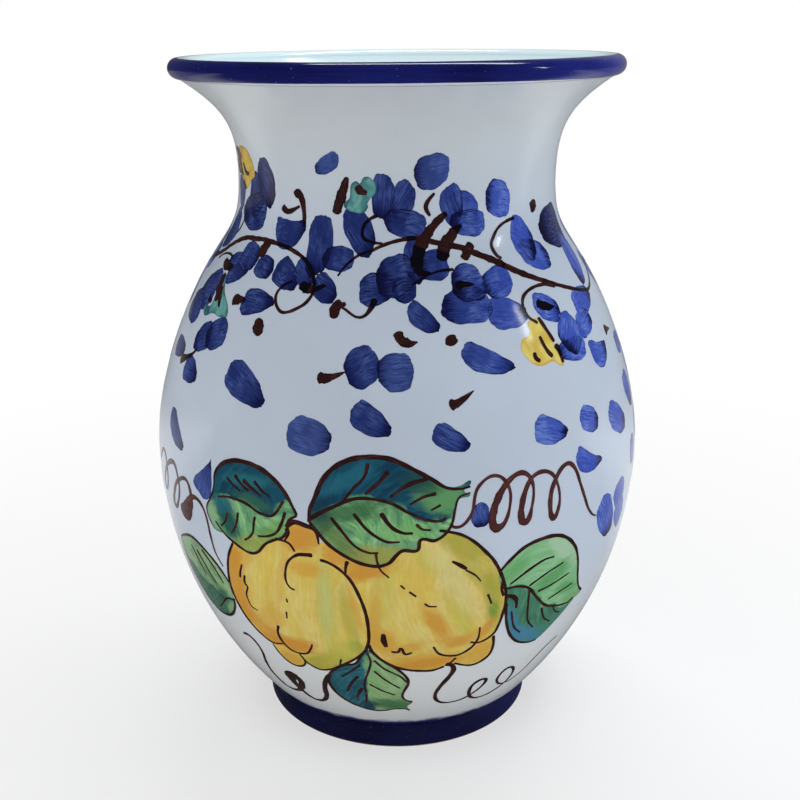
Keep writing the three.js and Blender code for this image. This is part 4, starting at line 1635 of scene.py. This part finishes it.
COILS = (
    Line(((20.6, 131), (22.2, 129.2), (25.6, 129.8), (29, 134.2), (31, 143), (34.4, 146.7), (38.3, 148),
         (42.2, 146.4), (45, 141.4), (45, 135.3), (43, 128.7), (39.8, 126.6), (37.6, 129), (38.5, 135.8),
         (42.2, 142.6), (46.7, 146.4), (51, 147.3), (54.4, 144.8), (55.8, 139.8), (55, 133), (53, 127),
         (50.8, 127.6), (50, 132), (51.9, 139.8), (55.6, 144.8), (61, 146), (65.6, 143.7), (68.3, 138),
         (69, 132), (67.4, 126.2), (65.8, 125.4), (64.2, 129.5), (64.4, 136.4), (67.2, 142), (71, 145.6),
         (75, 146.2), (78.3, 143), (81, 136.4), (84, 129.8), (87.2, 123.7), (90.6, 120), (93.6, 118.3)),
         (1, 1.2, 1.3, 1.3, 1.3, 1.3, 1.4, 1.5, 1.3, 1.2, 1.8, 3.4, 3.6, 3.2, 2.6, 2.2, 2, 1.6, 1.3, 1.3,
         2.6, 3.4, 2.9, 2.2, 1.9, 1.7, 1.5, 1.3, 1.3, 2.2, 2.6, 2.4, 2.2, 2.2, 2, 1.8, 1.7, 1.6, 1.5, 1.3,
         1, 0.8)),
    Line(((-81, 98.5), (-84.5, 104), (-86, 112), (-87, 119), (-89.5, 124), (-94, 126.2), (-99, 124.5),
         (-103.5, 120), (-107.5, 116), (-105.5, 114.5), (-102, 116), (-99, 121), (-98, 126),
         (-99.5, 130.5), (-102.5, 132), (-107, 130.5), (-112, 127), (-115.5, 122), (-118, 116),
         (-116, 114.5), (-112, 118.5), (-109, 125), (-110, 131), (-113, 135), (-117, 135), (-122, 132.5),
         (-127, 128), (-131, 122), (-131, 118), (-127, 120), (-124, 127), (-126, 135), (-131, 136),
         (-138, 130)), (0.7, 1, 1.3, 1.3, 1.5, 1.9, 2.6, 3.6, 4.4, 4.8, 4.6, 3.4, 2.2, 1.8, 1.8, 1.8, 1.8,
         2, 2, 2, 1.6, 1.4, 1.6, 2, 2.4, 2, 1.8, 1.6, 1.6, 1.4, 1.4, 1.4, 1.4, 1.2)),
)

SCROLLS = (
    Line(((-84, 62.2), (-79.4, 62.6), (-75.6, 59), (-74.8, 54), (-76.7, 48.3), (-77.8, 41.7),
         (-76.7, 36.7), (-73.3, 32.2), (-68.3, 31.4), (-62.8, 32.8), (-59, 35.6), (-56.6, 39), (-56, 42.3),
         (-58.3, 44.4), (-61, 45.4), (-62.4, 43.2), (-61.5, 38), (-59.4, 33.4), (-56, 29.8), (-51.7, 28.7),
         (-46, 30.6), (-42.2, 35), (-40.6, 41.7), (-37.8, 48.3), (-34, 52.8)), (1.4, 1.5, 1.5, 1.5, 1.6,
         1.7, 1.7, 1.7, 1.9, 2.2, 2.6, 3.2, 3.8, 4.6, 5, 4.6, 3.8, 2.6, 1.9, 1.8, 2, 2.3, 2.4, 2.2, 1.8)),
    Line(((23.3, 61.4), (26.7, 60), (28, 56.7), (26, 51.7), (22.8, 46), (21.3, 40.6), (22.8, 36),
         (27.2, 33), (33.3, 32.2), (40, 33.3), (45.6, 36.7), (49, 40.6), (50, 44.4), (47.8, 46), (44, 45),
         (41.7, 41.7), (42.8, 36), (46.7, 32.2), (53.3, 30.8), (60, 32.2), (65.6, 35.6), (68, 39.4),
         (68, 44.4), (65, 48.3), (61, 48.7), (58.3, 45.6), (58.3, 41.7), (62.2, 37.8), (67.8, 36.7),
         (73.3, 38.3), (77.8, 41.7), (82.2, 47.8), (87.8, 53.3), (94.4, 56)), (2.2, 2.3, 2.4, 2.2, 1.9,
         1.8, 1.6, 1.3, 1.1, 1.2, 1.2, 1.5, 1.6, 1.7, 1.8, 1.8, 1.6, 1.4, 1.2, 1.2, 1.2, 1.2, 1.3, 1.5,
         1.6, 1.5, 1.3, 1.1, 0.9, 0.8, 0.8, 0.8, 0.8, 0.7)),
)


@dataclass
class Painting:
    """The whole decoration: petals, garland, lemons, leaves, blossoms and scrolls, front and back."""

    skin: Skin
    petal_lift: float = 0.05 * MM
    line_lift: float = 0.095 * MM
    flank_left: float = 154.0
    flank_right: float = 192.3
    flank_tries: int = 900

    def flank_dabs(self, upper: bool) -> tuple[Dab, ...]:
        """Petals scattered between the front and the back, sparser lower down."""
        rng = np.random.default_rng(11 if upper else 5)
        bottom, top, apart = (204.0, 246.0, 12.0) if upper else (104.0, 196.0, 19.0)
        dabs: list[Dab] = []
        for _ in range(self.flank_tries):
            x = rng.uniform(self.flank_left, self.flank_right)
            z = rng.uniform(bottom, top)
            if any(math.hypot(x - d.x, z - d.z) < apart for d in dabs):
                continue
            ranges = (14, 20), (9, 13.5), (-70, 10), (0.2, 0.5)
            dabs.append(Dab(x, z, *(rng.uniform(low, high) for low, high in ranges)))
        return tuple(dabs)

    def dress(self, made: Piece, finish: Finish | None = None) -> None:
        """Gives a painted piece its finish and ties it to the body."""
        if finish:
            made.data.materials.append(finish.build())
        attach(made, "root")
        LOG.info("%s: %d faces", made.name, len(made.data.polygons))

    def build(self) -> None:
        """Paints both sides in order: petals, fruit and leaves, then the drawing."""
        cobalt, brown = PetalPaint("cobalt_petal"), LinePaint("manganese_line")
        thinned = PetalPaint(
            "thinned_cobalt", base=(132, 144, 184), light=(160, 171, 200),
            deep=(104, 116, 164), pooled=(92, 102, 150),
        )
        umber = LinePaint("umber_line", base=(74, 38, 38), thin=(118, 78, 72), thick=(48, 22, 24))
        petals = (
            ("upper_petals", UPPER_DABS + self.flank_dabs(True), cobalt),
            ("lower_petals", LOWER_DABS + self.flank_dabs(False), cobalt),
            ("faint_petals", FAINT_DABS, thinned),
        )
        fruit = right_lemon(), left_lemon()
        leaves = top_left_leaf(), top_centre_leaf(), right_leaf(), left_leaf(), bottom_leaf()
        motifs = fruit + leaves + blossoms()
        drawing = tuple(line for motif in motifs for line in motif.lines)
        film = Film(self.skin, self.petal_lift)
        for side in Side:
            blue = []
            for name, dabs, finish in petals:
                patches = [dab.patch() for dab in dabs]
                self.dress(film.build(f"{name}_{side.value}", patches, side), finish)
                blue += patches if finish is cobalt else []
            for motif in motifs:
                self.dress(motif.build(self.skin, side))
            for name, lines, crossed, pressure, finish in (
                ("garland_lines", GARLAND, blue, 1.05, brown),
                ("fruit_lines", drawing, [], 0.66, brown),
                ("coil_lines", COILS, [], 1.0, umber),
                ("scroll_lines", SCROLLS, [], 1.0, brown),
            ):
                pen = Pen(self.skin, self.line_lift, pressure)
                self.dress(pen.build(f"{name}_{side.value}", lines, side, crossed), finish)


@dataclass
class Vase:
    """The vase itself: body, rim and foot.

    Angles round the roll are in degrees from straight out, growing upward. Its inner side is
    bare white from bare_from on, and its blue starts at blue_stops, higher at the front.
    """

    outline: Outline
    skin: Skin
    turns: int = 288
    round_steps: int = 6
    outer_skip: int = 3
    inner_skip: int = 4
    roll_sink: float = 0.4 * MM
    roll_lap: float = 0.05 * MM
    roll_end: float = 165.0
    roll_steps: int = 36
    inner_angle: float = 200.0
    body_crease: float = math.radians(30.0)
    roll_crease: float = math.radians(60.0)
    bare_from: float = 62.0
    bare_to: float = 118.0
    blue_stops: float = -88.0
    blue_lifts: float = 40.0
    blue_fade: float = 16.0
    glaze_coat: float = 0.1 * MM
    floor_rise: float = 1.0 * MM
    floor_clear: float = 4.0 * MM
    floor_corner: float = 5.5 * MM
    inside_from: float = 16.0 * MM
    skin_depth: float = 0.5 * MM
    foot_edge: float = 1.5 * MM
    recess_top: float = 46.0 * MM
    recess_mouth: float = 48.0 * MM
    recess_depth: float = 3.5 * MM
    clay_radius: float = 50.0 * MM
    clay_height: float = 1.0 * MM
    band_pitch: float = 5.0 * MM

    def body(self) -> Piece:
        """Builds the glazed body with its inner skin and floor."""
        outline = self.outline
        points, inner = outline.curve()[0], outline.inner_skin()
        floor = outline.foot_top() + self.floor_rise
        inner = inner[(inner[:, 1] < outline.lip()[1]) & (inner[:, 1] > floor + self.floor_clear)]
        heel = arc(
            outline.heel_centre(), outline.heel_round, -UPRIGHT, outline.heel_angle - UPRIGHT,
            self.round_steps,
        )
        corner = np.array([inner[0][0] - self.floor_corner, floor])
        profile = np.vstack(
            [[0.0, outline.foot_top()], heel[:-1], points[:: self.outer_skip], points[-1:],
             inner[:: -self.inner_skip], corner, [0.0, floor]]
        )
        made = spin("glazed_body", profile, self.turns, closed=False)
        made.data.set_sharp_from_angle(angle=self.body_crease)
        self.settle(made)
        return made

    def settle(self, made: Piece) -> None:
        """Draws a turned mesh in by the glaze inset and wobble, and tilts its mouth."""
        mesh = made.data
        co = np.empty(len(mesh.vertices) * 3)
        mesh.vertices.foreach_get("co", co)
        co = co.reshape(-1, 3)
        radius = np.hypot(co[:, 0], co[:, 1])
        outer = radius > self.skin.radius_at(co[:, 2]) - self.skin_depth
        theta = np.arctan2(co[:, 0], -co[:, 1])
        settled = self.skin.settle(co)
        placed = self.skin.point(theta, co[:, 2], np.zeros(len(co)))
        on_skin = outer & (co[:, 2] > self.outline.heel_centre()[1])
        settled[on_skin] = placed[on_skin]
        mesh.vertices.foreach_set("co", settled.ravel())
        mesh.update()
        note(made, "within", (~outer & (co[:, 2] > self.inside_from)).astype(float))

    def rim(self) -> Piece:
        """Builds the rolled rim, sunk a hair into the body."""
        low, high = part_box("rim")
        roll = (high[2] - low[2]) / 2
        centre = np.array([high[0] - roll, low[2] + roll])
        skin = self.outline.inner_skin()
        sunk = low[2] - self.roll_sink
        inner_foot = np.array([np.interp(sunk, skin[:, 1], skin[:, 0]) - self.roll_lap, sunk])
        roll -= self.glaze_coat
        profile = np.vstack([inner_foot, arc(centre, roll, -UPRIGHT, self.roll_end, self.roll_steps)])
        angles = np.linspace(-UPRIGHT, self.roll_end, self.roll_steps + 1)
        angles = np.concatenate([[self.inner_angle], angles])
        made = spin("rolled_rim", profile, self.turns, closed=True)
        made.data.set_sharp_from_angle(angle=self.roll_crease)
        for vertex in made.data.vertices:
            vertex.co = self.skin.settle(np.array(vertex.co))
        around = np.tile(angles, self.turns)
        theta = np.repeat(np.linspace(0.0, 2 * math.pi, self.turns, endpoint=False), len(angles))
        stops = self.blue_stops + self.blue_lifts * np.maximum(np.cos(theta), 0.0)
        bare = np.clip((around - self.bare_from) / (self.bare_to - self.bare_from), 0.0, 1.0)
        note(made, "band_angle", np.radians(around))
        note(made, "bare", bare)
        under = np.clip((stops - around) / self.blue_fade + 0.5, 0.0, 1.0)
        note(made, "under", under)
        return made

    def foot(self) -> Piece:
        """Builds the foot with its rounded edge and the recess underneath."""
        _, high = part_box("foot")
        radius, top = high[0] - self.glaze_coat, high[2]
        edge = np.array([radius - self.foot_edge, self.foot_edge])
        profile = np.vstack(
            [[0.0, self.recess_depth], [self.recess_top, self.recess_depth], [self.recess_mouth, 0.0],
             arc(edge, self.foot_edge, -UPRIGHT, 0.0, self.round_steps), [radius, top], [0.0, top]]
        )
        made = spin("foot_ring", profile, self.turns, closed=False)
        co = np.array([vertex.co for vertex in made.data.vertices])
        bare = (co[:, 2] < self.clay_height) | (np.hypot(co[:, 0], co[:, 1]) < self.clay_radius)
        note(made, "band_angle", co[:, 2] / self.band_pitch)
        note(made, "bare", bare.astype(float))
        return made

    def build(self) -> None:
        """Builds and dresses the three turned pieces."""
        rim_blue = BandGlaze("rim_blue")
        foot_blue = BandGlaze(
            "foot_blue", 0.2, base=(10, 12, 56), dark=(5, 6, 34), light=(28, 32, 92),
            bare=(196, 176, 150), speck_share=0.15,
        )
        walls = ("lower_belly", "shoulder", "neck", "mouth")
        for made, finish, slot, nodes in (
            (self.body(), TinGlaze("tin_glaze"), "body_glaze", walls),
            (self.rim(), rim_blue, "rim_glaze", ("rim",)),
            (self.foot(), foot_blue, "foot_glaze", ("foot",)),
        ):
            made.data.materials.append(finish.build())
            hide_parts(*nodes)
            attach(made, "root")
            LOG.info("%s: %d faces", made.name, len(made.data.polygons))


@dataclass(frozen=True)
class Lamp:
    """A soft lamp: its place, size and power, and whether the glaze shows it."""

    name: str
    place: tuple[float, float, float]
    wide: float
    tall: float
    power: float
    mirrored: bool = False
    tint: tuple[float, float, float] = (1.0, 1.0, 1.0)
    aim: tuple[float, float, float] = (0.0, 0.0, 0.2)

    def build(self) -> None:
        """Adds the lamp, aimed at the upper middle of the vase."""
        data = bpy.data.lights.new(self.name, "AREA")
        data.shape = "RECTANGLE"
        data.size, data.size_y = self.wide, self.tall
        data.energy = self.power
        data.color = self.tint
        lamp = bpy.data.objects.new(self.name, data)
        lamp.location = self.place
        ahead = Vector(self.aim) - Vector(self.place)
        lamp.rotation_euler = ahead.to_track_quat("-Z", "Y").to_euler()
        lamp.visible_glossy = self.mirrored
        bpy.context.scene.collection.objects.link(lamp)


@dataclass(frozen=True)
class Studio:
    """Pale floor, soft lamps, white surroundings and the camera of the photograph."""

    frame_pixels: float = 800.0
    focal_pixels: float = 1146.3
    sensor: float = 36.0
    clip_start: float = 0.01
    distance: float = 506.5 * MM
    eye_height: float = 311.0 * MM
    pitch: float = math.radians(18.14)
    sideways: float = 1.3 * MM
    floor_size: float = 8.0
    floor_colour: tuple[float, ...] = (0.9, 0.9, 0.91, 1.0)
    floor_roughness: float = 0.8
    floor_gloss: float = 0.1
    shadow_reach: float = 0.6
    shadow_core: float = 0.12
    shadow_depth: float = 0.45
    even_light: float = 0.62
    side_light: float = 0.2
    side_least: float = 0.01
    top_dimming: float = 0.1
    front_mirrored: float = 0.04
    lamps: tuple[Lamp, ...] = (
        Lamp("overhead_strip", (0.18, 0.42, 1.5), 1.25, 0.2, 9.5, True),
        Lamp("window_strip", (1.28, -0.34, 0.89), 0.05, 0.24, 0.75, True, (0.9, 0.96, 1.0)),
        Lamp("key_softbox", (-1.25, -0.95, 0.3), 1.4, 1.0, 6.5, False, (1.0, 0.99, 0.95)),
        Lamp("fill_softbox", (1.55, -0.35, 0.3), 1.2, 1.0, 8.4, False, (0.86, 0.95, 1.0)),
    )

    def camera(self) -> None:
        """Places the camera where the photograph was taken."""
        data = bpy.data.cameras.new("photo_view")
        data.sensor_width = self.sensor
        data.lens = self.sensor * self.focal_pixels / self.frame_pixels
        data.clip_start = self.clip_start
        eye = bpy.data.objects.new("photo_view", data)
        eye.location = (self.sideways, -self.distance, self.eye_height)
        eye.rotation_euler = (math.pi / 2 - self.pitch, 0.0, 0.0)
        bpy.context.scene.collection.objects.link(eye)
        bpy.context.scene.camera = eye

    def world(self) -> None:
        """White surroundings for the camera, even light, and a dimmer front in reflections."""
        world = bpy.data.worlds.new("studio_white")
        world.use_nodes = True
        bpy.context.scene.world = world
        graph = Graph(world.node_tree)
        back = world.node_tree.nodes["Background"]
        path = graph.node("LightPath").outputs
        x, y, z = graph.parts(graph.node("TexCoord").outputs["Generated"])
        share = graph.scaled(graph.ramp(x, -0.5, 0.5), self.side_light, self.side_least)
        mirrored = graph.scaled(graph.ramp(y, 0.35, 1.0), share, self.front_mirrored)
        even = graph.scaled(graph.ramp(z, 0.1, 0.9), -self.top_dimming, self.even_light)
        level = graph.choose(path["Is Glossy Ray"], even, mirrored)
        level = graph.choose(path["Is Camera Ray"], level, 1.0)
        graph.put(level, back.inputs["Strength"])
        back.inputs["Color"].default_value = (1.0, 1.0, 1.0, 1.0)

    def floor(self) -> None:
        """Lays the pale floor, which melts into the white away from the vase and, seen in the glaze, glows
        as painted reflected light.
        """
        half = self.floor_size / 2
        corners = np.array([[-half, -half, 0], [half, -half, 0], [half, half, 0], [-half, half, 0]])
        made = mesh_object("studio_floor", corners, [(0, 1, 2, 3)])
        material, graph, shader = new_material("studio_floor")
        shader.inputs["Base Color"].default_value = self.floor_colour
        shader.inputs["Roughness"].default_value = self.floor_roughness
        shader.inputs["Specular IOR Level"].default_value = self.floor_gloss
        place = graph.node("TexCoord").outputs["Object"]
        away = graph.length(place)
        share = graph.scaled(graph.ramp(away, self.shadow_reach, self.shadow_core), -self.shadow_depth, 1.0)
        path = graph.node("LightPath").outputs
        white = graph.node("Emission", {"Strength": 1.0})
        seen = graph.times(path["Is Camera Ray"], share)
        mix = graph.node("MixShader", {0: seen, 1: shader.outputs[0], 2: white.outputs[0]})
        # Painted reflection: in glossy rays the floor glows instead of reflecting. It is dim in front of
        # the vase, brightest just behind it and dimmer far behind.
        _, y, _ = graph.parts(place)
        level = graph.scaled(graph.ramp(y, -0.02, 0.2), 0.7, 0.06)
        level = graph.scaled(graph.ramp(y, 0.25, 0.6), -0.52, level)
        mirrored = graph.node("Emission", {"Strength": level})
        shaders = {0: path["Is Glossy Ray"], 1: mix.outputs[0], 2: mirrored.outputs[0]}
        mix = graph.node("MixShader", shaders)
        graph.put(mix.outputs[0], material.node_tree.nodes["Material Output"].inputs["Surface"])
        made.data.materials.append(material)

    def build(self) -> None:
        """Sets up the whole studio."""
        self.camera()
        self.floor()
        self.world()
        for lamp in self.lamps:
            lamp.build()
        bpy.context.scene.view_settings.view_transform = "Standard"


def main() -> None:
    """Builds the studio, the vase and its painting."""
    logging.basicConfig(level=logging.INFO)
    outline = Outline()
    skin = Skin(outline)
    Studio().build()
    Vase(outline, skin).build()
    Painting(skin).build()


if __name__ == "__main__":
    main()
